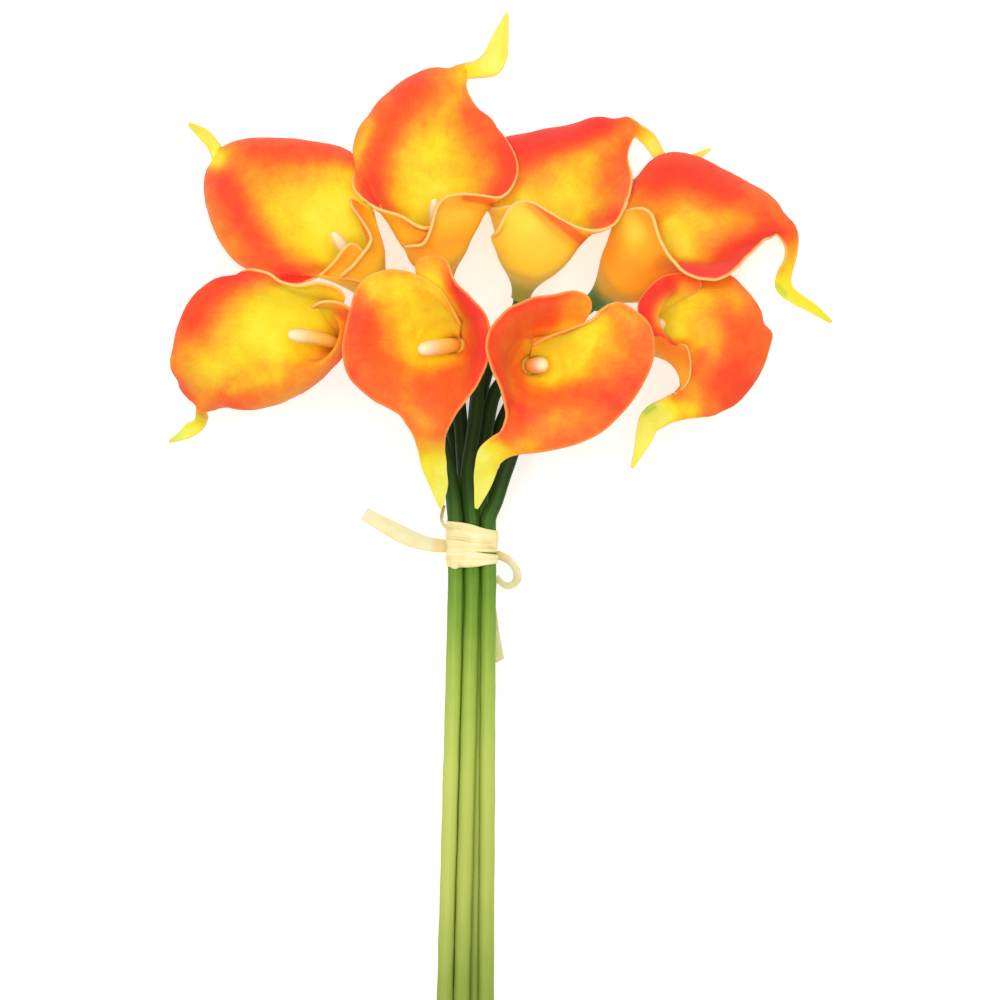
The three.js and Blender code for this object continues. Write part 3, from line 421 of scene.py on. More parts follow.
        ],
    },
    "lower_right": {
        "neck": [44, 62, 31],
        "throat": [67, 67.5, 53],
        "radius": 12,
        "turn": [160, 212],
        "spadix": [65.2, 71.6, 52],
        "outer": [
            [75, 33.2, 43], [80, 33.6, 42], [85, 34.5, 39, 86, 34, 42], [91, 37.5, 36, 92, 36.6, 40],
            [98, 43, 34, 99, 42.7, 39], [103, 50, 34, 103.5, 50, 38], [106.5, 58, 35], [108.6, 66, 34],
            [105, 71, 32, 106.5, 71, 36], [102, 78, 32, 103.2, 78.5, 37], [98, 84, 34, 99, 85, 38],
            [94, 88.5, 35], [89, 90.3, 33], [84, 90, 33],
        ],
        "inner": [
            [69, 42.2, 47], [73, 45, 50], [75.3, 48.5, 53], [76, 53, 56], [75.3, 58, 58],
            [74, 61.5, 59.5], [69.5, 62.3, 61.5, 70.5, 62.5, 63], [65, 63.8, 62, 66, 65, 65],
            [60.5, 66.3, 62.5, 63, 69, 67], [57, 70.5, 63, 61.5, 72, 68], [55.8, 75, 63, 61.8, 76, 68],
            [56.6, 80, 61, 63, 79.5, 66], [60, 85, 59, 66.5, 82, 62], [65, 88.7, 57, 70, 84.5, 58],
            [70, 90.3, 54], [75, 90.3, 51.5], [80, 88.2, 49.5], [82, 86.3, 48.5],
        ],
        "tail": [
            [[69, 31.6, 41], [65, 40, 44]],
            [[64.5, 29.3, 38], [60, 37.6, 41]],
            [[62.3, 27.8, 36], [56.5, 33.5, 38]],
            [[60.5, 24, 35], [55, 28, 36]],
            [[57.3, 19, 35], [54.3, 21.5, 35]],
            [[53.1, 12.8, 35], [52.5, 13.3, 35]],
        ],
    },
}

# Stems: offset across and height in the tie and at the cut end, the cut end's place along the
# bunch, then guide points up to the neck
STEMS = {
    "upper_left": {
        "tie": [-6.6, 11], "cut": [-7.5, 3.3], "end": -206,
        "guides": [[-17, 12, 9.6], [-20.5, 34, 5.6], [-32, 57, 8]],
    },
    "upper_middle": {
        "tie": [0, 11], "cut": [-0.5, 3.3], "end": -210,
        "guides": [[-10.5, 12, 10], [-8, 40, 8], [-3, 58, 7.5]],
    },
    "upper_right": {
        "tie": [6.6, 11], "cut": [6.5, 3.3], "end": -204,
        "guides": [[-3.6, 12, 10], [0.8, 31, 9], [15, 56, 8]],
    },
    "top": {
        "tie": [-3.3, 16.7], "cut": [-3.8, 9.5], "end": -208,
        "guides": [[-14.5, 12, 16], [-16.5, 38, 12], [-19, 62, 9]],
    },
    "front_right": {
        "tie": [3.3, 16.7], "cut": [3.3, 9.5], "end": -205,
        "guides": [[-7, 12, 16.8], [-5.2, 30, 17.2], [-1.5, 44, 20]],
    },
    "lower_left": {
        "tie": [-6.6, 22.4], "cut": [-8.4, 14.6], "end": -207,
        "guides": [[-20.5, 12, 23.5], [-30, 38, 27], [-42, 51, 31]],
    },
    "front_left": {
        "tie": [0, 22.4], "cut": [-1.7, 16.5], "end": -211,
        "guides": [[-12.9, 9, 22.6], [-10.1, 31, 22.2], [-8.8, 48, 23.5]],
    },
    "lower_right": {
        "tie": [6.6, 22.4], "cut": [8, 15], "end": -205,
        "guides": [[-1.4, 0, 22.5], [2.4, 12, 22.5], [13, 38, 21], [26, 53, 20.5]],
    },
}

# Loose raffia: rows of one edge point and the edge point across from it
RIBBONS = {
    "raffia_tail_left": [
        [[-20.8, -20.4, 17.4], [-20.8, -16, 19.4]],
        [[-24, -20.6, 16.6], [-24, -15.7, 18]],
        [[-29, -20.2, 15], [-28.6, -14.7, 16]],
        [[-37, -18.2, 12], [-36, -11.6, 13]],
        [[-46, -13.6, 9], [-44.6, -7.5, 9.5]],
        [[-55.4, -7.6, 6.5], [-52.7, -3.3, 7]],
    ],
    "raffia_loop_right": [
        [[-1.8, -23.6, 16], [-1.8, -20.2, 17.4]],
        [[0.2, -24.2, 15.5], [0.4, -20.8, 17]],
        [[2.8, -25.4, 14], [4, -22.8, 15.5]],
        [[4.9, -27.8, 12.5], [7.4, -26.8, 14]],
        [[5.3, -30.6, 11], [8.3, -31.2, 12.5]],
        [[4.3, -32.6, 9], [6.4, -34.4, 10.5]],
        [[2, -32.8, 6.6], [2.6, -35.4, 7.6]],
        [[-0.9, -30, 5], [-1.4, -33, 5.4]],
    ],
    "raffia_tail_lower": [
        [[-11, -20.5, 6.2], [-7.2, -19.9, 6.2]],
        [[-8.6, -30, 5.2], [-4.7, -29.6, 5.4]],
        [[-6, -42, 3], [-2.1, -41.5, 3.8]],
        [[-4, -54, 2], [-0.3, -53.4, 2.6]],
        [[-1.9, -65.1, 1.6], [1.6, -63.4, 2]],
    ],
    "raffia_loop_left": [
        [[-21.9, -2.4, 9], [-22.8, -1.8, 9.6]],
        [[-22.6, -5, 11], [-23.7, -5.1, 11.6]],
        [[-22.9, -7.6, 13], [-24, -8, 13.6]],
        [[-22.2, -9.6, 14.6], [-22.9, -10.5, 15.2]],
        [[-20.6, -10.8, 15.6], [-20.8, -12, 16.2]],
    ],
}

# The knot's nub over the lowest turn
KNOT = [
    [[-20.2, -26.6, 25.4], [-20.4, -24.2, 25.6]],
    [[-19, -27.3, 26.4], [-18.8, -24.6, 26.7]],
    [[-17.4, -27.5, 26.5], [-17, -25, 26.8]],
    [[-16, -26.7, 26.2], [-15.8, -25.6, 26.3]],
]

# Airbrushed colour inside each bloom: lines seen from above, each with its reach and strength.
# A plus strength reddens the orange ground, a minus strength lets the yellow foam through.
TINTS = {
    "upper_left": [
        ([(-98, 141), (-88, 140), (-72, 141), (-56, 138)], 6, 0.26),
        ([(-92, 134), (-74, 132)], 9, 0.14),
        ([(-113, 132), (-108, 131)], 4, -0.1),
        ([(-110, 127), (-103, 112), (-95, 100), (-84, 93)], 7.5, 0.42),
        ([(-86, 90), (-68, 91)], 4, 0.16),
        ([(-86, 98), (-78, 95)], 4, -0.08),
        ([(-76, 93), (-70, 91)], 3, 0.14),
        ([(-66, 122), (-64, 104)], 13, -0.12),
        ([(-114, 137), (-119, 145), (-124, 150)], 4.5, -0.5),
    ],
    "top": [
        ([(-34, 165), (-43, 152), (-49, 138), (-50, 120)], 7.5, 0.34),
        ([(-58, 120), (-58, 136), (-52, 150)], 3, -0.2),
        ([(6, 138), (5.5, 129), (2, 123)], 6, 0.26),
        ([(-4, 142), (-12, 153)], 8, 0.24),
        ([(-28, 160), (-32, 150)], 5, 0.06),
        ([(-26, 132), (-20, 132)], 6, 0.1),
        ([(-53, 132), (-50, 122)], 4, 0.12),
        ([(-14, 167), (-11, 160)], 4, -0.2),
        ([(-24, 142), (-27, 116)], 7, -0.1),
        ([(-8, 130), (-6, 122)], 5, 0.14),
        ([(-46, 116), (-40, 113)], 3, 0.2),
        ([(-18, 158), (-15, 150)], 5, -0.1),
        ([(-12, 173), (-4, 175), (0, 180)], 6, -0.4),
    ],
    "upper_middle": [
        ([(-2, 139), (14, 142), (28, 146), (40, 150)], 8, 0.5),
        ([(12, 133), (16, 128)], 6, 0.14),
        ([(42, 146), (52, 148)], 5, -0.12),
        ([(8, 116), (6, 108)], 8, -0.2),
        ([(42, 136), (41, 128)], 5, 0.08),
        ([(7, 126), (4, 121)], 5, 0.16),
        ([(2, 142), (20, 145), (40, 151)], 4, 0.14),
        ([(34, 138), (40, 141)], 4, -0.1),
        ([(46, 113), (38, 111)], 3.5, 0.2),
        ([(60, 142), (70, 134)], 6, -0.3),
    ],
    "upper_right": [
        ([(58, 126), (66, 132), (78, 130), (86, 126)], 10, 0.44),
        ([(64, 126), (67, 116)], 6, 0.1),
        ([(94, 122), (104, 117)], 6, 0.2),
        ([(68, 131), (78, 128)], 5, 0.1),
        ([(61, 110), (63, 102), (67, 95)], 3, 0.4),
        ([(72, 91), (88, 93), (98, 99), (107, 106)], 6, 0.42),
        ([(68, 109), (73, 99), (82, 96)], 4, -0.26),
        ([(55, 124), (60, 120)], 4, -0.1),
        ([(80, 99), (92, 104)], 6, 0.18),
        ([(110, 92), (115, 86), (130, 72)], 5, 0.12),
    ],
    "lower_left": [
        ([(-122, 72), (-117, 80), (-110, 88)], 8, 0.36),
        ([(-66, 58), (-76, 52), (-92, 47), (-106, 41)], 7, 0.24),
        ([(-62, 66), (-64, 74)], 4, 0.24),
        ([(-131, 47), (-126, 39)], 3.5, 0.3),
        ([(-122, 52), (-106, 56)], 6, -0.1),
        ([(-110, 91), (-100, 89)], 4, 0.2),
        ([(-82, 85), (-74, 83), (-64, 81)], 5, -0.36),
        ([(-84, 72), (-92, 70)], 10, -0.16),
        ([(-118, 43), (-114, 50)], 6, -0.14),
        ([(-106, 44), (-90, 49)], 4, -0.2),
    ],
    "front_left": [
        ([(-28, 43), (-22, 50), (-13, 54)], 9, 0.34),
        ([(-36, 56), (-32, 50)], 5, 0.14),
        ([(-54, 72), (-50, 60), (-44, 52)], 8, 0.24),
        ([(-35, 36), (-29, 28)], 5, -0.14),
        ([(-22, 44), (-18, 52)], 5, 0.12),
        ([(-50, 84), (-38, 82)], 8, -0.14),
        ([(-9, 60), (-10, 72), (-16, 84)], 5, 0.46),
        ([(-56, 42), (-60, 50)], 4, 0.1),
        ([(-28, 94), (-38, 90), (-50, 88)], 8, -0.2),
        ([(-27, 87), (-21, 79), (-18, 72)], 4, -0.26),
        ([(-34, 57), (-20, 57)], 5, -0.2),
    ],
    "front_right": [
        ([(24, 82), (12, 79), (2, 74), (-3, 64), (-2, 52)], 7, 0.16),
        ([(7, 48), (4, 56), (8, 66), (20, 72)], 4.5, 0.34),
        ([(14, 51), (20, 48)], 4, -0.2),
        ([(8, 36), (18, 41), (38, 46)], 8, 0.4),
        ([(50, 48), (46, 40)], 7, 0.16),
        ([(2, 33), (4, 35)], 3, -0.2),
        ([(7, 38), (9, 44)], 3, 0.1),
        ([(22, 52), (42, 48)], 6, -0.16),
        ([(24, 58), (33, 63), (39, 70)], 6, -0.36),
        ([(40, 70), (38, 60)], 3, 0.12),
        ([(46, 78), (54, 71)], 3, -0.16),
        ([(26, 81), (34, 80)], 5, -0.14),
        ([(-6, 20), (4, 20), (12, 22)], 4, -0.2),
    ],
    "lower_right": [
        ([(66, 86), (58, 81), (56, 74), (59, 66), (72, 61)], 4, 0.46),
        ([(88, 50), (94, 58), (94, 70)], 9, 0.3),
        ([(93, 40), (99, 46)], 5, 0.26),
        ([(66, 74), (69, 66)], 5, -0.3),
        ([(78, 68), (86, 80)], 7, 0.12),
        ([(86, 46), (92, 52)], 6, 0.14),
        ([(77, 52), (80, 58)], 4, 0.26),
        ([(60, 80), (61, 76)], 3, 0.16),
        ([(66, 36), (76, 36)], 5, -0.36),
        ([(90, 84), (95, 80)], 5, -0.1),
        ([(60, 30), (64, 35)], 5, -0.4),
    ],
}

# Creases of the sheets: a line seen from above, its reach and its height above the inside face
CREASES = {
    "top": [([(-14, 170), (-19, 166), (-22, 161), (-23, 154), (-23, 146)], 2.2, 0.9)],
    "upper_middle": [([(51, 148), (40, 139), (35, 129), (31, 120)], 3, 0.8)],
    "front_left": [([(-36.5, 90), (-36, 78), (-33, 68), (-27, 63)], 2, -0.8)],
    "front_right": [([(41.5, 77), (40.5, 68), (37, 61), (29, 56)], 2, -0.8)],
    "lower_left": [
        ([(-117, 37), (-104, 50), (-94, 60)], 1.8, -0.5),
        ([(-112, 37), (-98, 45), (-84, 56)], 1.8, -0.5),
    ],
    "upper_left": [([(-111, 134), (-105, 120), (-98, 110), (-88, 101)], 3.5, -0.6)],
}

# Green touches on the tails, as seen, each with its reach and strength
GREENS = {
    "upper_right": [([(110.8, 85.6), (114, 82.2)], 1.5, 0.7), ([(128, 73), (132, 71)], 3, 0.3)],
    "lower_right": [([(58.4, 35.4), (61.8, 37.6)], 1.2, 0.7), ([(54, 16), (53, 13)], 2.5, 0.2)],
    "upper_left": [([(-122, 149), (-125, 152)], 2.5, 0.3)],
    "lower_left": [([(-133, 24), (-129, 25)], 3.5, 0.4), ([(-120, 34), (-119, 32)], 2, 0.25)],
}

# Share of bare foam colour on each rim, where it isn't fully bare, and places where that differs
BARE_RIMS = {
    "front_left": (0.3, []),
    "front_right": (0.35, []),
    "lower_left": (0.85, [([(-128, 38), (-132, 48), (-124, 70)], 6, -0.8)]),
    "lower_right": (0.85, []),
}

# Colour outside each bloom from lemon at -1 over gold at 0 and orange at 1 to deep orange at 2
# Strokes past 1, just under lips and flaps, deepen the sprayed orange with painted shade
BACK_WARMTH = {
    "top": (0.1, [
        ([(-14, 121), (-4, 119.5)], 2.4, 2.1), ([(-24, 112), (-14, 115)], 4, -0.4),
        ([(-32, 101), (-16, 104)], 4, 0.6),
    ]),
    "upper_middle": (-0.4, [
        ([(15, 118.5), (22, 112.5), (33, 104)], 3.4, 2.7), ([(6, 112), (12, 112)], 7, -0.6),
    ]),
    "upper_right": (0.9, [([(50, 112), (54, 107)], 8, -1.7), ([(64, 96), (70, 92)], 4, 0.6)]),
    "lower_left": (0.9, []),
    "lower_right": (0.9, [([(66, 63), (76, 57)], 5, 0.8)]),
}


def to_linear(colour):
    """Turns an sRGB hex colour into linear red, green, blue and alpha."""
    values = [int(colour[k : k + 2], 16) / 255 for k in (1, 3, 5)]
    linear = [v / 12.92 if v <= 0.04045 else ((v + 0.055) / 1.055) ** 2.4 for v in values]
    return (*linear, 1.0)


def placed(rows):
    """Moves landmarks from where the camera sees them to their place in the frame, in mm."""
    rows = np.array(rows, float)
    spread = (VIEW_HEIGHT - rows[..., 2]) / (VIEW_HEIGHT - VIEW_PLANE)
    rows[..., 0] = rows[..., 0] * spread - CENTRE_X
    rows[..., 1] = rows[..., 1] * spread - CENTRE_Y
    return rows


def seen(points):
    """Gives where the camera sees points of the frame, the reverse of placed."""
    spread = (VIEW_HEIGHT - points[..., 2]) / (VIEW_HEIGHT - VIEW_PLANE)
    x = (points[..., 0] + CENTRE_X) / spread
    y = (points[..., 1] + CENTRE_Y) / spread
    return np.stack([x, y], -1)


def unit(rows):
    """Gives rows of vectors a length of 1."""
    return rows / np.linalg.norm(rows, axis=-1, keepdims=True)


def curve_through(rows, places):
    """Reads a Catmull-Rom curve through rows at places from 0 to the last row's index."""
    rows = np.asarray(rows, float)
    padded = np.vstack([2 * rows[0] - rows[1], rows, 2 * rows[-1] - rows[-2]])
    index = np.clip(np.floor(places).astype(int), 0, len(rows) - 2)
    f = (places - index)[:, None]
    p0, p1, p2, p3 = (padded[index + k] for k in range(4))
    bend = 2 * p0 - 5 * p1 + 4 * p2 - p3
    return 0.5 * (2 * p1 + (p2 - p0) * f + bend * f**2 + (3 * p1 - p0 - 3 * p2 + p3) * f**3)


def hermite(start, end, leave, arrive, f):
    """Point at share f of a curve with given ends and given directions there."""
    return (
        (2 * f**3 - 3 * f**2 + 1) * start
        + (f**3 - 2 * f**2 + f) * leave
        + (3 * f**2 - 2 * f**3) * end
        + (f**3 - f**2) * arrive
    )


def route(rows, places):
    """Reads a smooth route through rows, whose slope at a row weighs its two spans by length."""
    rows = np.asarray(rows, float)
    spans = np.linalg.norm(np.diff(rows[:, :3], axis=0), axis=1)
    steps = np.diff(rows, axis=0)
    slopes = np.vstack([
        steps[:1] / spans[0],
        (steps[:-1] + steps[1:]) / (spans[:-1] + spans[1:])[:, None],
        steps[-1:] / spans[-1],
    ])
    index = np.clip(np.floor(places).astype(int), 0, len(rows) - 2)
    f = (places - index)[:, None]
    length = spans[index][:, None]
    return hermite(
        rows[index], rows[index + 1], slopes[index] * length, slopes[index + 1] * length, f
    )


def along_points(points):
    """Running length in mm along the first axis of a run of points."""
    steps = np.linalg.norm(np.diff(points, axis=0), axis=-1)
    return np.concatenate([np.zeros((1, *steps.shape[1:])), np.cumsum(steps, axis=0)])


def smooth_step(low, high, value):
    """Rises softly from 0 at low to 1 at high."""
    f = np.clip((value - low) / (high - low), 0, 1)
    return f * f * (3 - 2 * f)


def ripples(points, seed, waves=9):
    """A soft uneven field, about -1 to 1, of slanted sine waves about 1 unit long."""
    source = np.random.default_rng(seed)
    total = np.zeros(len(points))
    for _ in range(waves):
        way = source.normal(size=3)
        way *= math.tau / source.uniform(0.7, 1.5) / np.linalg.norm(way)
        total += np.sin(points @ way + source.uniform(0, math.tau))
    return total / math.sqrt(waves)


def distance_to_line(points, line):
    """Distance from points to a line of several straight parts, all seen from above."""
    line = np.asarray(line, float)
    nearest = np.full(points.shape[:-1], np.inf)
    for start, end in zip(line[:-1], line[1:]):
        along = end - start
        share = np.clip(((points - start) @ along) / (along @ along), 0, 1)
        gap = np.linalg.norm(points - start - share[..., None] * along, axis=-1)
        nearest = np.minimum(nearest, gap)
    return nearest


def brushed(base, strokes, places):
    """Adds soft strokes to a base: each a line seen from above, its reach and its strength."""
    total = np.zeros(len(places)) + base
    for line, reach, strength in strokes:
        total += strength * np.exp(-((distance_to_line(places, line) / reach) ** 2))
    return total


def add_piece(name, points, faces, attributes, material, nodes, slot):
    """Makes a smooth mesh piece in metres that stands for nodes of the part."""
    mesh = bpy.data.meshes.new(name)
    mesh.from_pydata((np.asarray(points) * MM).tolist(), [], faces)
    mesh.shade_smooth()
    for key, values in attributes.items():
        layer = mesh.attributes.new(key, "FLOAT", "POINT")
        layer.data.foreach_set("value", np.asarray(values, np.float32).ravel())
    mesh.materials.append(material)
    piece = bpy.data.objects.new(name, mesh)
    bpy.context.scene.collection.objects.link(piece)
    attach(piece, "root")
    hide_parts(*nodes)


class Bloom:
    """The rolled sheet of one bloom: its axis, its ribs from lip end to lip end, and its tail."""

    def __init__(self, name):
        rows = BLOOMS[name]
        self.name = name
        self.rows = rows
        self.neck, self.throat = placed(rows["neck"]), placed(rows["throat"])
        self.axis = unit(self.throat - self.neck)
        roots = [placed(rows[side][0][:3]) for side in ("outer", "inner")]
        reach = (roots[0] + roots[1]) / 2 - self.throat
        self.toward_tail = unit(reach - self.axis * (reach @ self.axis))
        across = np.cross(self.axis, self.toward_tail)
        thirds = [placed(rows[side][len(rows[side]) // 3][:3]) for side in ("outer", "inner")]
        self.hand = 1 if (thirds[0] - thirds[1]) @ across > 0 else -1
        self.across = across * self.hand
        outer = self.side_ribs("outer", 1, rows["turn"][0], rows["tail"][0][0])
        inner = self.side_ribs("inner", -1, rows["turn"][1], rows["tail"][0][1])
        self.landmarks = np.array(outer[::-1] + inner)
        self.root = len(outer) - 1
        self.ribs = self.eased()

    def outward(self, degrees):
        """Directions square to the axis, at angles from the tail's side."""
        angle = np.radians(degrees)[..., None]
        return np.cos(angle) * self.toward_tail + np.sin(angle) * self.across

    def throat_at(self, degrees):
        """Points of the throat, whose radius grows with the angle so that the sheet rolls up."""
        radius = self.rows["radius"] + THROAT_PITCH * degrees / 360
        return self.throat + radius[..., None] * self.outward(degrees)

    def neck_at(self, degrees):
        """Points of the neck, which rolls up in the same way."""
        radius = NECK_RADIUS + NECK_PITCH * degrees / 360
        return self.neck + radius[..., None] * self.outward(degrees)

    def side_ribs(self, side, sign, turn, tail_edge):
        """Ribs of one side: angle about the axis, rim, fold and the rim's leaving direction."""
        rims = np.array([placed(row[:3]) for row in self.rows[side]])
        roots = [placed(self.rows[key][0][:3]) for key in ("outer", "inner")]
        steps = np.linalg.norm(np.diff(rims, axis=0), axis=1)
        lengths = np.linalg.norm(roots[0] - roots[1]) / 2 + np.concatenate([[0], np.cumsum(steps)])
        ribs = []
        for row, rim, length in zip(self.rows[side], rims, lengths):
            degrees = sign * turn * length / lengths[-1]
            throat = self.throat_at(np.array(degrees))
            span = rim - throat
            fold = throat + FOLD_SHARE * span + self.axis * FOLD_LIFT * np.linalg.norm(span)
            if len(row) > 3:
                fold = placed(row[3:])
            leave = rim - fold
            if not ribs:
                leave = unit(placed(tail_edge) - rim) * np.linalg.norm(leave)
            ribs.append([degrees, *rim, *fold, *leave])
        return ribs

    def eased(self):
        """The rim goes through its landmarks; everything behind it is eased along the rim."""
        last = len(self.landmarks) - 1
        places = np.linspace(0, last, last * RIB_SAMPLES + 1)
        rims = curve_through(self.landmarks, places)[:, 1:4]
        ends = [placed(row) for row in self.rows["tail"][0]]
        outer = np.vstack([self.landmarks[: self.root + 1, 1:4], ends[0]])
        inner = np.vstack([ends[1], self.landmarks[self.root + 1 :, 1:4]])
        before = places <= self.root
        after = places >= self.root + 1
        rims[before] = curve_through(outer, places[before])
        rims[after] = curve_through(inner, places[after] - self.root)
        keep = [0, 4, 5, 6, 7, 8, 9]
        index = np.arange(last + 1)
        rest = np.stack([np.interp(places, index, self.landmarks[:, k]) for k in keep], 1)
        steps = np.linalg.norm(np.diff(rims, axis=0), axis=1)
        along = np.concatenate([[0], np.cumsum(steps)])
        where = np.concatenate([-along[:0:-1], along, 2 * along[-1] - along[-2::-1]])
        weights = np.exp(-0.5 * ((where - along[:, None]) / RIM_EASE) ** 2) * np.gradient(where)
        weights /= weights.sum(1, keepdims=True)

        def ease(rows):
            before_first = 2 * rows[0] - rows[:0:-1]
            after_last = 2 * rows[-1] - rows[-2::-1]
            return weights @ np.concatenate([before_first, rows, after_last])

        means = ease(rest)
        fold = means[:, 1:4]
        over = unit(fold - self.throat_at(means[:, 0])) + unit(rims - fold)
        return np.column_stack([means[:, 0], rims, means[:, 1:], ease(unit(over))])

    def rib_at(self, places):
        """Ribs at places between the landmarks."""
        index = np.arange(len(self.ribs))
        samples = places * RIB_SAMPLES
        return np.stack([np.interp(samples, index, column) for column in self.ribs.T], 1)

    def columns(self, count, root_count):
        """Column places spaced evenly along the rim, with root_count columns on the tail's root."""
        last = len(self.landmarks) - 1

        def run(start, end, parts):
            places = np.linspace(start, end, COLUMN_SAMPLES)
            ribs = self.rib_at(places)
            steps = np.linalg.norm(np.diff(ribs[:, 1:4], axis=0), axis=1)
            steps += FOLD_WEIGHT * np.linalg.norm(np.diff(ribs[:, 4:7], axis=0), axis=1)
            along = np.concatenate([[0], np.cumsum(steps)])
            return np.interp(np.linspace(0, along[-1], parts + 1), along, places), along[-1]

        outer_length = run(0, self.root, 1)[1]
        inner_length = run(self.root + 1, last, 1)[1]
        sides = count - root_count
        outer_count = round(sides * outer_length / (outer_length + inner_length))
        outer = run(0, self.root, outer_count)[0]
        inner = run(self.root + 1, last, sides - outer_count)[0]
        root = np.linspace(self.root, self.root + 1, root_count + 1)
        return np.concatenate([outer[:-1], root, inner[1:]]), outer_count

    def climbs(self, places, levels):
        """Climbs of each column: levels up to the rim, which rounds off at the two lip ends."""
        run = along_points(self.rib_at(places)[:, 1:4])
        near = np.clip(1 - np.minimum(run, run[-1] - run) / LIP_REACH, 0, 1)
        return np.outer(1 - LIP_DROP * (1 - np.sqrt(1 - near**2)), levels)

    def sheet(self, places, climbs):
        """Points of the sheet's middle for column places and climbs from neck 0 to rim 1."""
        ribs = self.rib_at(places)
        degrees, rim, fold, leave = ribs[:, 0], ribs[:, 1:4], ribs[:, 4:7], ribs[:, 7:10]
        neck, throat = self.neck_at(degrees), self.throat_at(degrees)
        tube = np.linalg.norm(throat - neck, axis=1, keepdims=True)
        flare = unit(self.axis + THROAT_FLARE * self.outward(degrees))
        bowl = np.linalg.norm(fold - throat, axis=1, keepdims=True)
        lip = np.linalg.norm(rim - fold, axis=1, keepdims=True)
        over = unit(ribs[:, 10:13])
        spans = [
            (neck, throat, self.axis * tube, flare * tube * THROAT_PULL, climbs / THROAT_V),
            (throat, fold, flare * bowl, over * bowl, (climbs - THROAT_V) / (FOLD_V - THROAT_V)),
            (fold, rim, over * lip, leave, (climbs - FOLD_V) / (1 - FOLD_V)),
        ]
        tube_part, bowl_part, rim_part = (
            hermite(*(row[:, None] for row in span[:4]), span[4][..., None]) for span in spans
        )
        share = np.clip(climbs / THROAT_V, 0, 1)[..., None]
        middle = self.neck + self.axis * ((tube_part - self.neck) @ self.axis)[..., None]
        draw = PINCHES.get(self.name, 0) * np.sin(math.pi * share) ** 2
        tube_part = middle + (tube_part - middle) * (1 - draw)
        upper = np.where(climbs[..., None] <= FOLD_V, bowl_part, rim_part)
        return np.where(climbs[..., None] <= THROAT_V, tube_part, upper)

    def tail(self, root_line, count):
        """Rows of the tail from after its root to its tip, hollowed along the middle."""
        rails = []
        for side, key in enumerate(("outer", "inner")):
            edge = [placed(row[:3]) for row in self.rows[key][1::-1]]
            edge += [placed(row[side]) for row in self.rows["tail"]]
            rails.append(curve_through(edge, np.linspace(1, len(edge) - 1, count + 1)))
        share = np.linspace(0, 1, len(root_line))[:, None]
        straight = root_line[0] * (1 - share) + root_line[-1] * share
        bow = root_line - straight
        rows = []
        for k in range(1, count + 1):
            left, right = rails[0][k], rails[1][k]
            ahead = (rails[0][min(k + 1, count)] + rails[1][min(k + 1, count)]) / 2
            behind = (rails[0][k - 1] + rails[1][k - 1]) / 2
            width = np.linalg.norm(right - left)
            normal = np.cross(right - left, ahead - behind)
            normal = normal / max(np.linalg.norm(normal), 1e-9) * self.hand
            deepening = smooth_step(0, CHANNEL_START, k / count)
            dip = TAIL_CHANNEL * width * np.sin(math.pi * share) * deepening
            fade = (1 - k / count) ** 2
            rows.append(left * (1 - share) + right * share + bow * fade - normal * dip)
        return np.stack(rows, 1)


def grid_quads(columns, rows, first=0, closed=False):
    """Quads of a grid whose points run along each column in turn."""
    spans = columns if closed else columns - 1
    i, j = np.meshgrid(np.arange(spans), np.arange(rows - 1), indexing="ij")
    a = (first + i * rows + j).ravel()
    b = (first + (i + 1) % columns * rows + j).ravel()
    return np.stack([a, b, b + 1, a + 1], 1)


def sheet_normals(points, quads):
    """Normal at each point, averaged over its quads by area."""
    across = points[quads[:, 2]] - points[quads[:, 0]]
    along = points[quads[:, 3]] - points[quads[:, 1]]
    normals = np.zeros_like(points)
    for k in range(4):
        np.add.at(normals, quads[:, k], np.cross(across, along))
    return unit(normals + 1e-12)


def open_edges(quads):
    """Edges that only one quad uses, in that quad's direction."""
    pairs = np.concatenate([quads[:, [k, (k + 1) % 4]] for k in range(4)])
    used = {tuple(pair) for pair in pairs.tolist()}
    return np.array([pair for pair in pairs.tolist() if (pair[1], pair[0]) not in used])


def thicken(points, quads, half, steps=4):
    """Gives a sheet two faces and a round edge; half is half the thickness at each point.

    Returns points, faces, the sheet point behind each one, and its place from front 1 to back 0.
    """
    normals = sheet_normals(points, quads)
    edges = open_edges(quads)
    directions = unit(points[edges[:, 1]] - points[edges[:, 0]])
    away = np.zeros_like(points)
    for k in range(2):
        np.add.at(away, edges[:, k], np.cross(directions, normals[edges[:, k]]))
    count = len(points)
    rim = np.unique(edges)
    away[rim] = unit(away[rim] + 1e-12)
    layers = [points + normals * half[:, None], points - normals * half[:, None]]
    source = [np.arange(count), np.arange(count)]
    front = [np.ones(count), np.zeros(count)]
    row_of = np.zeros(count, int)
    row_of[rim] = np.arange(len(rim))
    starts = [np.arange(count)]
    for k in range(1, steps):
        angle = math.pi * k / steps
        offset = normals[rim] * math.cos(angle) + away[rim] * math.sin(angle)
        starts.append(2 * count + (k - 1) * len(rim) + row_of)
        layers.append(points[rim] + offset * half[rim, None])
        source.append(rim)
        front.append(np.full(len(rim), 0.5 + 0.5 * math.cos(angle)))
    starts.append(count + np.arange(count))
    faces = [quads, quads[:, ::-1] + count]
    for near, far in zip(starts, starts[1:]):
        i, j = edges[:, 0], edges[:, 1]
        faces.append(np.stack([near[j], near[i], far[i], far[j]], 1))
    points, source, front = (np.concatenate(rows) for rows in (layers, source, front))
    return points, np.concatenate(faces).tolist(), source, front


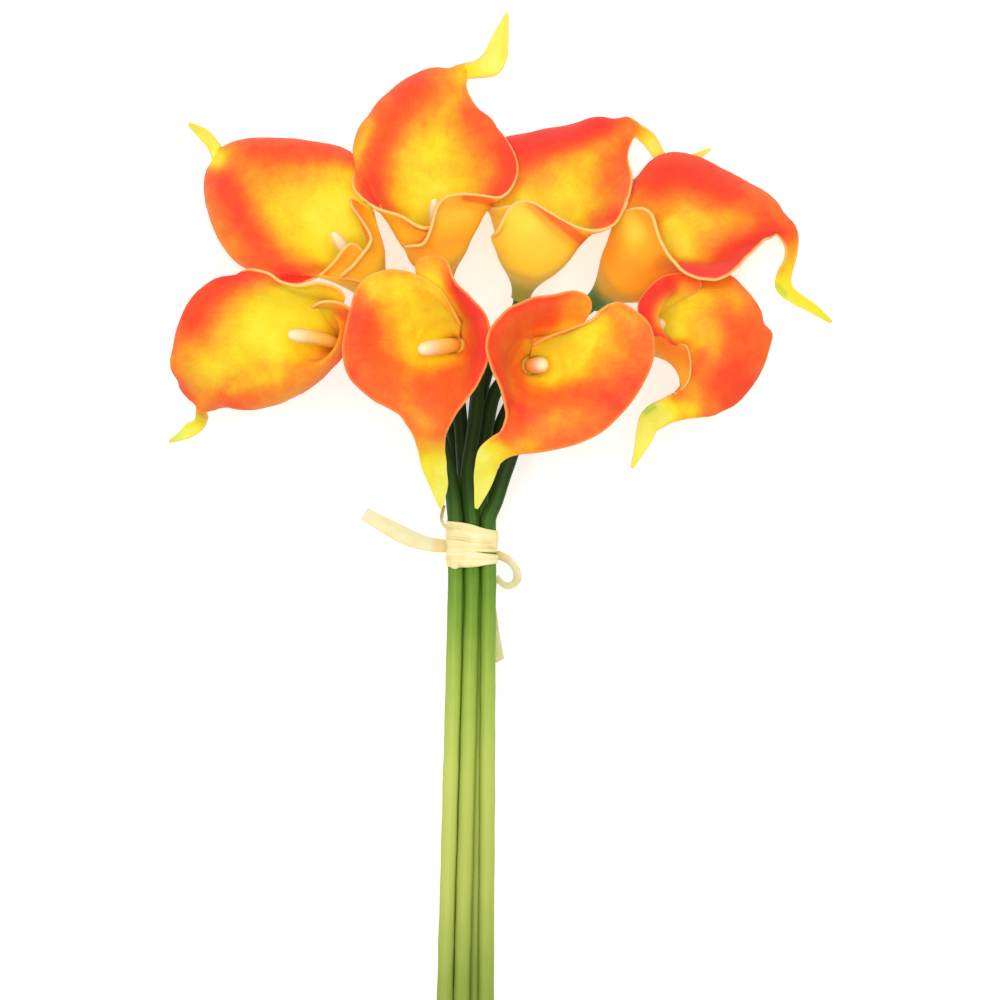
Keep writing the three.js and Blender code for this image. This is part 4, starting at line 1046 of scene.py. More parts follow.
def rod_rings(centres, radii, sides):
    """Points round a line of centres; the rings turn as little as they can."""
    ahead = np.vstack([centres[1:], centres[-1:]])
    behind = np.vstack([centres[:1], centres[:-1]])
    along = unit(ahead - behind)
    side = np.array([0.0, 0.0, -1.0])
    angles = np.arange(sides) / sides * math.tau
    rings = []
    for centre, way, radius in zip(centres, along, radii):
        side = unit(side - way * (side @ way))
        other = np.cross(way, side)
        ring = np.outer(np.cos(angles), side) + np.outer(np.sin(angles), other)
        rings.append(centre + np.reshape(radius, (-1, 1)) * ring)
    return np.array(rings)


def rod_faces(rings, sides):
    """Quads between a rod's rings and a flat face at each end."""
    quads = []
    for i in range(rings - 1):
        for k in range(sides):
            a, b = i * sides + k, i * sides + (k + 1) % sides
            quads.append([a, b, b + sides, a + sides])
    last = (rings - 1) * sides
    return quads + [list(range(sides))[::-1], [last + k for k in range(sides)]]


def join(parts):
    """Joins parts of points, faces and attributes into one mesh's worth."""
    points, faces, attributes = [], [], {}
    for part_points, part_faces, part_attributes in parts:
        first = sum(len(block) for block in points)
        points.append(part_points)
        faces += [[first + k for k in face] for face in part_faces]
        for key, values in part_attributes.items():
            attributes.setdefault(key, []).append(np.asarray(values, float).ravel())
    attributes = {key: np.concatenate(rows) for key, rows in attributes.items()}
    return np.concatenate(points), faces, attributes


def nearest_distance(points, others):
    """Distance from each point to the nearest of the others."""
    squares = (points**2).sum(1)[:, None] + (others**2).sum(1) - 2 * points @ others.T
    return np.sqrt(np.maximum(squares.min(1), 0))


def build_spathe(name, seed, settings, material):
    """One bloom's sheet and tail, with soft hollows, fine veins and a round frilled rim."""
    bloom = Bloom(name)
    places, root = bloom.columns(SHEET_COLUMNS, ROOT_COLUMNS)
    levels = np.concatenate([
        np.linspace(0, THROAT_V, TUBE_ROWS, endpoint=False),
        np.linspace(THROAT_V, FOLD_V, BOWL_ROWS, endpoint=False),
        np.linspace(FOLD_V, 1, LIP_ROWS),
    ])
    climbs = bloom.climbs(places, levels)
    grid = bloom.sheet(places, climbs)
    columns, rows = climbs.shape
    tail_columns = slice(root, root + ROOT_COLUMNS + 1)
    tail = bloom.tail(grid[tail_columns, -1], TAIL_ROWS)
    points = np.concatenate([grid.reshape(-1, 3), tail.reshape(-1, 3)])
    first = columns * rows
    c = np.arange(ROOT_COLUMNS)
    ends = (root + c) * rows + rows - 1
    starts = first + c * TAIL_ROWS
    root_quads = np.stack([ends, ends + rows, starts + TAIL_ROWS, starts], 1)
    tail_quads = grid_quads(ROOT_COLUMNS + 1, TAIL_ROWS, first)
    quads = np.concatenate([grid_quads(columns, rows), root_quads, tail_quads])
    if bloom.hand < 0:
        quads = quads[:, ::-1]

    rim_run = along_points(grid[:, -1])
    lengths = along_points(grid.transpose(1, 0, 2)).T
    tail_line = np.concatenate([grid[tail_columns, -1:], tail], 1).transpose(1, 0, 2)
    tail_lengths = lengths[tail_columns, -1:] + along_points(tail_line).T[:, 1:]
    across = np.concatenate([np.repeat(rim_run, rows), np.repeat(rim_run[tail_columns], TAIL_ROWS)])
    along = np.concatenate([lengths.ravel(), tail_lengths.ravel()])
    tail_climb = 1 + np.arange(1, TAIL_ROWS + 1) / TAIL_ROWS
    climb = np.concatenate([climbs.ravel(), np.tile(tail_climb, ROOT_COLUMNS + 1)])
    edges = np.unique(open_edges(quads))
    edges = edges[(edges >= first) | (edges % rows > 0)]
    margin = nearest_distance(points, points[edges])

    body = smooth_step(*RELIEF_START, climb) * (1 - smooth_step(*RELIEF_END, climb))
    soft = ripples(points / HOLLOW_SPAN, seed) * HOLLOW_HEIGHT
    near_rim = np.exp(-margin / FRILL_REACH)
    frill = ripples(points / FRILL_SPAN, seed + 1) * FRILL_HEIGHT * near_rim
    frill *= smooth_step(*FRILL_START, climb)
    vein_places = np.stack([across / VEIN_GAP, along / VEIN_LENGTH, climb * 0], 1)
    veins = ripples(vein_places, seed + 2) * (settings.vein_height / MM)
    creases = brushed(0, CREASES.get(name, []), seen(points)) * (climb > CREASE_START)
    lift = (soft + frill + veins) * body + creases
    points = points + sheet_normals(points, quads) * lift[:, None]

    rim = settings.rim_thickness / MM
    thicknesses = [rim if value is None else value for value in THICKNESSES]
    half = np.interp(climb, THICKNESS_CLIMBS, thicknesses) / 2
    solid, faces, source, inside = thicken(points, quads, half)
    solid[:, 2] = np.maximum(solid[:, 2], 0)

    where = seen(points)
    tone = brushed(np.interp(climb, TONE_CLIMBS, TONE_VALUES), TINTS[name], where)
    tone = np.maximum(tone, TONE_FLOOR * (1 - smooth_step(*TONE_FLOOR_END, climb)))
    attributes = {
        "tone": tone, "climb": climb, "margin": margin, "across": across, "along": along,
        "green": brushed(0, GREENS.get(name, []), where),
        "bare": brushed(*BARE_RIMS.get(name, (1, [])), where),
        "warmth": brushed(*BACK_WARMTH.get(name, (0, [])), where),
    }
    attributes = {key: values[source] for key, values in attributes.items()}
    attributes["inside"] = inside
    node = f"spathe_{name}"
    add_piece(node, solid, faces, attributes, material, [node], "spathe")


def build_spadix(name, seed, settings, material):
    """The finger in the throat: a soft rod with a rounded tip and a fine grain."""
    bloom = Bloom(name)
    start = bloom.neck + bloom.axis * (PEG_LENGTH + FIT_GAP)
    tip = placed(bloom.rows["spadix"])
    bend = start + bloom.axis * SPADIX_BEND * np.linalg.norm(tip - start)
    sides = SPADIX_SIDES
    profile = curve_through(SPADIX_PROFILE, np.linspace(0, len(SPADIX_PROFILE) - 1, SPADIX_RINGS))
    profile[:, 1] *= GIRTHS.get(name, 1)
    from_collar = (profile[:, 0] - COLLAR_PLACE) / COLLAR_WIDTH
    collar = COLLARS.get(name, 0) * np.exp(-(from_collar**4))
    profile[:, 1] = np.maximum(profile[:, 1], collar)
    share = np.clip(profile[:, :1], 0, 1)
    centres = (1 - share) ** 2 * start + 2 * share * (1 - share) * bend + share**2 * tip
    points = rod_rings(centres, np.repeat(profile[:, 1:], sides, 1), sides).reshape(-1, 3)
    outward = unit(points - np.repeat(centres, sides, 0) + 1e-9)
    grain = ripples(points / GRAIN_SIZE, seed) * settings.grain / MM
    points = points + outward * grain[:, None]
    attributes = {"share": np.repeat(share[:, 0], sides)}
    faces = rod_faces(SPADIX_RINGS, sides)
    node = f"spadix_{name}"
    add_piece(node, points, faces, attributes, material, [node], "spadix")


def stem_route(name):
    """Rows of centre and radius from the cut end to the neck, the same as in the part's source."""
    stem, bloom = STEMS[name], Bloom(name)
    tie_x, cut_x = TIE_X + stem["tie"][0], CUT_X + stem["cut"][0]
    tie_z, cut_z = stem["tie"][1], stem["cut"][1]
    rows = [[cut_x, stem["end"], cut_z, STEM_RADIUS_CUT]]
    for share in (0.02, 0.45):
        y = CUT_Y + (TIE_Y - 2 * TIE_STEP - CUT_Y) * share
        radius = STEM_RADIUS_CUT + (STEM_RADIUS_TIE - STEM_RADIUS_CUT) * share
        x, z = cut_x + (tie_x - cut_x) * share, cut_z + (tie_z - cut_z) * share
        rows.append([x, y, z, radius])
    for step in (-2, -1, 0, 1):
        rows.append([tie_x, TIE_Y + TIE_STEP * step, tie_z, STEM_RADIUS_TIE])
    rows += [[*guide, STEM_RADIUS_NECK] for guide in stem["guides"]]
    rows = [[*placed(row[:3]), row[3]] for row in rows]
    for offset in (-NECK_RUN, -2 * FIT_GAP):
        rows.append([*(bloom.neck + bloom.axis * offset), STEM_RADIUS_NECK])
    return rows, bloom


def build_stem(name, seed, settings, material):
    """One soft coated stem: faint grooves, a slight swelling, a peg and a bevelled cut end."""
    rows, bloom = stem_route(name)
    sides = STEM_SIDES
    line = route(rows, np.linspace(0, len(rows) - 1, (len(rows) - 1) * STEM_STEPS + 1))
    line[:, 2] = np.maximum(line[:, 2], line[:, 3])
    peg = [[*(bloom.neck + bloom.axis * offset), PEG_RADIUS] for offset in (-FIT_GAP, PEG_LENGTH)]
    rim = [
        [*(line[0, :3] + (line[1, :3] - line[0, :3]) * share), line[0, 3] - taken]
        for share, taken in CUT_BEVEL
    ]
    rows = np.vstack([rim, line[1:], peg])
    run = along_points(rows[:, :3])
    angles = np.arange(sides) / sides * math.tau
    groove = np.zeros(sides)
    for order, (count, weight) in enumerate(GROOVES, 1):
        groove += weight * np.sin(angles * count + seed * order)
    groove *= settings.groove_depth / MM
    radii = rows[:, 3:] + groove * smooth_step(0, GROOVE_START, run)[:, None]
    points = rod_rings(rows[:, :3], radii, sides).reshape(-1, 3)
    outward = unit(points - np.repeat(rows[:, :3], sides, 0))
    points += outward * (ripples(points / SWELL_SPAN, seed) * SWELL)[:, None]
    points[:, 2] = np.maximum(points[:, 2], 0)
    neck_run = run[-1 - len(peg)]
    attributes = {
        "run": np.repeat(run, sides), "to_neck": np.repeat(neck_run - run, sides),
        "turn": np.tile(angles, len(rows)), "cut": np.repeat((run == 0).astype(float), sides),
        "shade": np.full(len(points), STEM_SHADES[name]),
    }
    faces = rod_faces(len(rows), sides)
    node = f"stem_{name}"
    add_piece(node, points, faces, attributes, material, [node], "stem")


def bundle_outline(margin, angles):
    """Points round the tied stems at turning angles in degrees from the right, offset by margin."""
    ties = np.array([stem["tie"] for stem in STEMS.values()], float)
    half = ties[:, 0].max()
    low, high = ties[:, 1].min(), ties[:, 1].max()
    reach = STEM_RADIUS_TIE + margin
    centre_z = (low + high) / 2
    way = np.stack([np.cos(np.radians(angles)), np.sin(np.radians(angles))], 1)
    box = np.array([half, (high - low) / 2])
    inner, outer = np.zeros(len(angles)), np.full(len(angles), SEARCH_REACH)
    for _ in range(SEARCH_STEPS):
        middle = (inner + outer) / 2
        past_box = np.maximum(np.abs(way * middle[:, None]) - box, 0)
        outside = np.linalg.norm(past_box, axis=1) > reach
        outer = np.where(outside, middle, outer)
        inner = np.where(outside, inner, middle)
    return TIE_X + way[:, 0] * inner, centre_z + way[:, 1] * inner


def turn_of_raffia(upper, lower, margin, seed, thickness):
    """One flat turn round the stems, softly folded along its length."""
    angles = np.arange(TURN_STEPS) / TURN_STEPS * 360
    upper, lower = around(upper, angles), around(lower, angles)
    turned = np.radians(angles)
    sway = TURN_SWAY * np.sin(turned * 3 + seed)
    grid = np.zeros((TURN_STEPS, TURN_STRANDS, 3))
    folds = np.zeros((TURN_STEPS, TURN_STRANDS))
    for k, part in enumerate(np.linspace(0, 1, TURN_STRANDS)):
        from_middle = 2 * part - 1
        drift = TURN_DRIFT * np.sin(turned * 2 + seed)
        fold = np.sin(part * TURN_FOLDS + seed * 2 + drift)
        # Painted shade: fold valleys and the strip's edges are kept as a darker colour
        folds[:, k] = fold - TURN_EDGE_SHADE * from_middle**12
        crown = TURN_CROWN * (1 - from_middle**4) + TURN_FOLD_HEIGHT * fold
        x, z = bundle_outline(margin + np.maximum(crown, 0), angles)
        y = upper + (lower - upper) * part + sway
        grid[:, k] = placed(np.stack([x, y, z], 1))
    quads = grid_quads(TURN_STEPS, TURN_STRANDS, closed=True)
    return ribbon_part(grid, quads, folds, thickness, seed)


def around(values, angles):
    """Eases values evenly spaced round a turn of 360 degrees."""
    places = angles / 360 * len(values)
    rows = np.array([values[k % len(values)] for k in range(-1, len(values) + 2)], float)
    return curve_through(rows[:, None], places + 1)[:, 0]


def ribbon_part(grid, quads, fold, thickness, seed):
    """Thickens a ribbon's grid of lengthwise columns and notes where its fibres and folds run."""
    points = grid.reshape(-1, 3)
    columns, rows = grid.shape[:2]
    across = np.repeat(along_points(grid.transpose(1, 0, 2))[:, columns // 2][None], columns, 0)
    along = np.repeat(along_points(grid[:, rows // 2])[:, None], rows, 1)
    solid, faces, source, _ = thicken(points, quads, np.full(len(points), thickness / 2), 2)
    keys = {
        "across": across.ravel()[source] + seed * FIBRE_SHIFT, "along": along.ravel()[source],
        "seed": np.full(len(source), seed), "fold": fold.ravel()[source],
    }
    return solid, faces, keys


def loose_ribbon(rows, steps, cup, thickness, seed):
    """A free ribbon through rows of two edge points, cupped across its width."""
    places = np.linspace(0, len(rows) - 1, (len(rows) - 1) * steps + 1)
    left = curve_through(placed([row[0] for row in rows]), places)
    right = curve_through(placed([row[1] for row in rows]), places)
    share = np.linspace(0, 1, LOOSE_STRANDS)
    grid = left[:, None] * (1 - share[:, None]) + right[:, None] * share[:, None]
    quads = grid_quads(len(places), LOOSE_STRANDS)
    normals = sheet_normals(grid.reshape(-1, 3), quads).reshape(grid.shape)
    width = np.linalg.norm(right - left, axis=1)[:, None]
    creases = CREASE_HEIGHT * np.sin(share * CREASE_COUNT + seed)
    profile = cup * (np.sin(share * math.pi) - CUP_MIDDLE) + creases
    run = along_points(left)[:, None]
    curl = CURL_HEIGHT * np.sin(run / CURL_LENGTH + share * 2 + seed)
    grid = grid + normals * (width * (profile + curl))[..., None]
    # Painted shade: the low parts of the cupped width are kept as a darker colour
    fold = np.ones(grid.shape[:2]) * profile / cup
    return ribbon_part(grid, quads, fold, thickness, seed)


def add_node(tree, kind, inputs=None, stops=None, **settings):
    """Adds a node, sets it up and links or fills its inputs, which are named or numbered."""
    node = tree.nodes.new(kind)
    for key, value in settings.items():
        setattr(node, key, value)
    if stops:
        ramp = node.color_ramp
        while len(ramp.elements) < len(stops):
            ramp.elements.new(0.5)
        for element, (place, colour) in zip(ramp.elements, stops):
            element.position = place
            element.color = to_linear(colour) if isinstance(colour, str) else colour
    for key, value in (inputs or {}).items():
        if isinstance(value, bpy.types.NodeSocket):
            tree.links.new(value, node.inputs[key])
        else:
            node.inputs[key].default_value = value
    return node


def new_material(name):
    """An empty material with its output; returns it and its node tree."""
    material = bpy.data.materials.new(name)
    material.use_nodes = True
    material.node_tree.nodes.clear()
    return material, material.node_tree


def foam_petal(settings):
    """Soft-touch EVA foam sheet, pressed in a mould, with a matt skin and faint wrinkles.

    Its lemon ground shows in the throat, on the tail and at the cut rim; orange and red are
    sprayed over it from the margins in, and green round the neck and on some tails.
    """
    material, tree = new_material("airbrushed soft foam petal")
    keys = ("tone", "climb", "margin", "inside", "across", "along", "green", "bare", "warmth")
    tone, climb, margin, inside, across, along, green, bare, warmth = (
        add_node(tree, "ShaderNodeAttribute", attribute_name=key).outputs["Fac"] for key in keys
    )
    place = add_node(tree, "ShaderNodeTexCoord").outputs["Object"]

    # Moulded veins about 1.2 mm apart and 14 mm long that run from neck to rim
    vein_x = add_node(
        tree, "ShaderNodeMath", {0: across, 1: 1 / 1.2}, operation="MULTIPLY"
    ).outputs[0]
    vein_y = add_node(
        tree, "ShaderNodeMath", {0: along, 1: 1 / 14}, operation="MULTIPLY"
    ).outputs[0]
    vein_at = add_node(tree, "ShaderNodeCombineXYZ", {"X": vein_x, "Y": vein_y}).outputs[0]
    veins = add_node(
        tree, "ShaderNodeTexNoise", {"Vector": vein_at, "Scale": 1, "Detail": 3, "Roughness": 0.55}
    ).outputs["Fac"]
    # Cloudy spray 6 mm across, and a skin of 0.9 mm wrinkles, about as fine as the render can show
    spray = add_node(
        tree, "ShaderNodeTexNoise",
        {"Vector": place, "Scale": 1000 / 6, "Detail": 5, "Roughness": 0.6},
    ).outputs["Fac"]
    skin = add_node(
        tree, "ShaderNodeTexNoise",
        {"Vector": place, "Scale": 1000 / 0.9, "Detail": 2, "Roughness": 0.6, "Distortion": 0.6},
    ).outputs["Fac"]

    with_veins = add_node(
        tree, "ShaderNodeMath", {0: veins, 1: 0.1, 2: tone}, operation="MULTIPLY_ADD"
    ).outputs[0]
    with_spray = add_node(
        tree, "ShaderNodeMath", {0: spray, 1: 0.28, 2: with_veins}, operation="MULTIPLY_ADD"
    ).outputs[0]
    with_skin = add_node(
        tree, "ShaderNodeMath", {0: skin, 1: 0.1, 2: with_spray}, operation="MULTIPLY_ADD"
    ).outputs[0]
    level = add_node(
        tree, "ShaderNodeMath", {0: with_skin, 1: 0.24}, operation="SUBTRACT"
    ).outputs[0]
    front = add_node(tree, "ShaderNodeValToRGB", {"Fac": level}, [
        (0.0, settings.tail_colour), (0.1, "#fdec3c"), (0.2, settings.throat_colour),
        (0.32, "#fdc424"), (0.46, "#fd9a26"), (0.6, "#fd7228"), (0.78, "#fc5028"),
        (1.0, settings.flush_colour),
    ]).outputs["Color"]

    # Outside, green at the neck gives way to gold on the cone and lemon on the tail
    blur = add_node(
        tree, "ShaderNodeMath", {0: spray, 1: 0.18, 2: climb}, operation="MULTIPLY_ADD"
    ).outputs[0]
    height = add_node(tree, "ShaderNodeMath", {0: blur, 1: 0.5}, operation="MULTIPLY").outputs[0]
    golden = add_node(tree, "ShaderNodeValToRGB", {"Fac": height}, [
        (0.06, "#4a7a3a"), (0.1, "#64863a"), (0.145, "#c0a834"), (0.19, "#f2bc34"),
        (0.3, "#fdc430"), (0.45, settings.back_colour), (0.56, "#fba02c"), (0.66, "#fdd23c"),
        (0.8, settings.tail_colour),
    ]).outputs["Color"]
    # Some blooms are sprayed orange outside as well, others are left lemon
    orange = add_node(
        tree, "ShaderNodeMapRange", {0: warmth, 1: 0.0, 2: 1.0, 3: 0.0, 4: 0.8}
    ).outputs[0]
    pale = add_node(
        tree, "ShaderNodeMapRange", {0: warmth, 1: 0.0, 2: -1.0, 3: 0.0, 4: 1.0}
    ).outputs[0]
    lit = add_node(
        tree, "ShaderNodeMix", {0: pale, 6: golden, 7: to_linear("#fee048")}, data_type="RGBA"
    ).outputs[2]
    above_neck = add_node(
        tree, "ShaderNodeMapRange", {0: blur, 1: 0.3, 2: 0.75}, interpolation_type="SMOOTHSTEP"
    ).outputs[0]
    below_lip = add_node(
        tree, "ShaderNodeMapRange", {0: climb, 1: 0.9, 2: 0.6, 3: 0.25, 4: 1.0},
        interpolation_type="SMOOTHSTEP",
    ).outputs[0]
    band = add_node(
        tree, "ShaderNodeMath", {0: above_neck, 1: below_lip}, operation="MULTIPLY"
    ).outputs[0]
    warm = add_node(
        tree, "ShaderNodeMath", {0: orange, 1: band}, operation="MULTIPLY"
    ).outputs[0]
    warmed = add_node(
        tree, "ShaderNodeMix", {0: warm, 6: lit, 7: to_linear("#fb8a24")}, data_type="RGBA"
    ).outputs[2]
    # Deep orange just under lips and flaps: sprayed colour with painted shade of the overhang
    deep_orange_and_shade = add_node(
        tree, "ShaderNodeMapRange", {0: warmth, 1: 1.0, 2: 1.9, 3: 0.0, 4: 0.9}
    ).outputs[0]
    back = add_node(
        tree, "ShaderNodeMix", {0: deep_orange_and_shade, 6: warmed, 7: to_linear("#ee6a20")}, data_type="RGBA"
    ).outputs[2]
    faces = add_node(
        tree, "ShaderNodeMix", {0: inside, 6: back, 7: front}, data_type="RGBA"
    ).outputs[2]

    # The knife's cut at the rim is bare foam, and the spray is thin for 0.5 mm beside it
    turned = add_node(
        tree, "ShaderNodeMapRange", {0: inside, 1: 0.95, 2: 0.6}, interpolation_type="SMOOTHSTEP"
    ).outputs[0]
    close = add_node(
        tree, "ShaderNodeMapRange", {0: margin, 1: 0.5, 2: 0.05}, interpolation_type="SMOOTHSTEP"
    ).outputs[0]
    cut = add_node(
        tree, "ShaderNodeMath", {0: close, 1: 0.5, 2: turned}, operation="MULTIPLY_ADD"
    ).outputs[0]
    at_rim = add_node(
        tree, "ShaderNodeMath", {0: cut, 1: close}, operation="MULTIPLY", use_clamp=True
    ).outputs[0]
    bare_rim = add_node(
        tree, "ShaderNodeMath", {0: at_rim, 1: bare}, operation="MULTIPLY"
    ).outputs[0]
    on_sheet = add_node(
        tree, "ShaderNodeMapRange", {0: climb, 1: 1.6, 2: 1.2}, interpolation_type="SMOOTHSTEP"
    ).outputs[0]
    bare_sheet = add_node(
        tree, "ShaderNodeMath", {0: bare_rim, 1: on_sheet}, operation="MULTIPLY"
    ).outputs[0]
    rimmed = add_node(
        tree, "ShaderNodeMix", {0: bare_sheet, 6: faces, 7: settings.rim_colour},
        data_type="RGBA",
    ).outputs[2]
    touched = add_node(
        tree, "ShaderNodeMix", {0: green, 6: rimmed, 7: to_linear("#a0d838")}, data_type="RGBA"
    ).outputs[2]

    # Wrinkles 0.06 mm high and veins 0.16 mm high, both softened
    skin_bump = add_node(
        tree, "ShaderNodeBump", {"Strength": 0.6, "Distance": 0.00006, "Height": skin}
    )
    vein_bump = add_node(
        tree, "ShaderNodeBump",
        {"Strength": 0.7, "Distance": 0.00016, "Height": veins, "Normal": skin_bump.outputs[0]},
    )
    rough = add_node(tree, "ShaderNodeMapRange", {0: spray, 3: 0.46, 4: 0.6}).outputs[0]
    shader = add_node(tree, "ShaderNodeBsdfPrincipled", {
        "Base Color": touched, "Roughness": rough, "IOR": 1.45, "Specular IOR Level": 0.2,
        "Normal": vein_bump.outputs[0], "Sheen Weight": 0.03, "Sheen Roughness": 0.5,
    })
    add_node(tree, "ShaderNodeOutputMaterial", {"Surface": shader.outputs["BSDF"]})
    return material


def foam_spadix(settings):
    """Dense moulded foam, yellow in the throat and cream at the tip, with beads 0.6 mm across."""
    material, tree = new_material("beaded foam spadix")
    share = add_node(tree, "ShaderNodeAttribute", attribute_name="share").outputs["Fac"]
    place = add_node(tree, "ShaderNodeTexCoord").outputs["Object"]
    beads = add_node(
        tree, "ShaderNodeTexVoronoi", {"Vector": place, "Scale": 1000 / 0.6, "Randomness": 0.8}
    ).outputs["Distance"]
    cloud = add_node(
        tree, "ShaderNodeTexNoise", {"Vector": place, "Scale": 1000 / 3, "Detail": 3}
    ).outputs["Fac"]
    blend = add_node(
        tree, "ShaderNodeMath", {0: cloud, 1: 0.3, 2: share}, operation="MULTIPLY_ADD"
    ).outputs[0]
    colour = add_node(tree, "ShaderNodeValToRGB", {"Fac": blend}, [
        (0.0, "#fdc838"), (0.38, "#fed048"), (0.52, "#ffdc64"), (0.8, settings.colour),
        (1.0, "#fff2c0"),
    ]).outputs["Color"]
    bump = add_node(
        tree, "ShaderNodeBump", {"Strength": 0.5, "Distance": 0.00012, "Height": beads}
    ).outputs[0]
    shader = add_node(tree, "ShaderNodeBsdfPrincipled", {
        "Base Color": colour, "Roughness": 0.55, "IOR": 1.45, "Specular IOR Level": 0.4,
        "Normal": bump,
    })
    add_node(tree, "ShaderNodeOutputMaterial", {"Surface": shader.outputs["BSDF"]})
    return material


def coated_stem(settings):
    """Stem with a moulded soft vinyl coat: satin, faintly ribbed along its length.

    The coat is lime at the cut end and dark green towards the blooms, with painted shadow above the
    tie.
    """
    material, tree = new_material("moulded soft vinyl stem")
    keys = ("run", "to_neck", "turn", "cut", "shade")
    run, to_neck, turn, cut, shade = (
        add_node(tree, "ShaderNodeAttribute", attribute_name=key).outputs["Fac"] for key in keys
    )
    place = add_node(tree, "ShaderNodeTexCoord").outputs["Object"]
    parts = add_node(tree, "ShaderNodeSeparateXYZ", {0: place}).outputs
    cloud = add_node(
        tree, "ShaderNodeTexNoise", {"Vector": place, "Scale": 1000 / 9, "Detail": 4}
    ).outputs["Fac"]
    # Drawn streaks about 0.8 mm wide and 33 mm long
    streak_x = add_node(tree, "ShaderNodeMath", {0: turn, 1: 3.6}, operation="MULTIPLY").outputs[0]
    streak_y = add_node(
        tree, "ShaderNodeMath", {0: run, 1: 1 / 40}, operation="MULTIPLY"
    ).outputs[0]
    streak_at = add_node(tree, "ShaderNodeCombineXYZ", {"X": streak_x, "Y": streak_y}).outputs[0]
    streaks = add_node(
        tree, "ShaderNodeTexNoise",
        {"Vector": streak_at, "Scale": 1.2, "Detail": 4, "Roughness": 0.6},
    ).outputs["Fac"]

    # Colour along the bunch, from 0.2 m before the middle of the frame to 0.1 m after it
    # Its near-black greens above the tie are painted shadow of the blooms, over a real mid green
    level = add_node(
        tree, "ShaderNodeMapRange", {0: parts["Y"], 1: -0.2, 2: 0.1, 3: 0.0, 4: 1.0}
    ).outputs[0]
    shifted = add_node(
        tree, "ShaderNodeMath", {0: streaks, 1: 0.12, 2: level}, operation="MULTIPLY_ADD"
    ).outputs[0]
    clouded = add_node(
        tree, "ShaderNodeMath", {0: cloud, 1: 0.06, 2: shifted}, operation="MULTIPLY_ADD"
    ).outputs[0]
    coat = add_node(tree, "ShaderNodeValToRGB", {"Fac": clouded}, [
        (0.12, settings.low_colour), (0.26, "#c2cd66"), (0.42, "#cad66a"), (0.55, "#acc654"),
        (0.64, "#84a83c"), (0.71, "#57882a"), (0.77, settings.shadowed_high_colour), (0.86, "#223812"),
        (1.0, "#2a4218"),
    ]).outputs["Color"]
    near_neck = add_node(
        tree, "ShaderNodeMapRange", {0: to_neck, 1: 26, 2: 2}, interpolation_type="SMOOTHSTEP"
    ).outputs[0]
    necked = add_node(
        tree, "ShaderNodeMix", {0: near_neck, 6: coat, 7: to_linear("#4a7a3a")}, data_type="RGBA"
    ).outputs[2]
    ended = add_node(
        tree, "ShaderNodeMix", {0: cut, 6: necked, 7: to_linear("#a8b878")}, data_type="RGBA"
    ).outputs[2]
    # Painted shade: the coat is a deeper green towards the sides and the underneath
    around_stem = add_node(tree, "ShaderNodeMath", {0: turn}, operation="COSINE").outputs[0]
    side = add_node(
        tree, "ShaderNodeMapRange", {0: around_stem, 1: -0.92, 2: 0.0, 3: 0.0, 4: 0.3},
        interpolation_type="SMOOTHSTEP",
    ).outputs[0]
    # Each stem's own deeper tint adds to the painted shade
    depth = add_node(
        tree, "ShaderNodeMath", {0: side, 1: shade}, operation="ADD", use_clamp=True
    ).outputs[0]
    # A darker copy of the coat, for the painted shade and each stem's tint
    tint_and_shade_green = add_node(
        tree, "ShaderNodeMix", {0: 1.0, 6: ended, 7: to_linear("#b0c878")},
        data_type="RGBA", blend_type="MULTIPLY",
    ).outputs[2]
    shaded = add_node(
        tree, "ShaderNodeMix", {0: depth, 6: ended, 7: tint_and_shade_green}, data_type="RGBA"
    ).outputs[2]
    bump = add_node(
        tree, "ShaderNodeBump", {"Strength": 0.6, "Distance": 0.00012, "Height": streaks}
    ).outputs[0]
    shader = add_node(tree, "ShaderNodeBsdfPrincipled", {
        "Base Color": shaded, "Roughness": 0.5, "IOR": 1.5, "Specular IOR Level": 0.16,
        "Normal": bump,
    })
    add_node(tree, "ShaderNodeOutputMaterial", {"Surface": shader.outputs["BSDF"]})
    return material


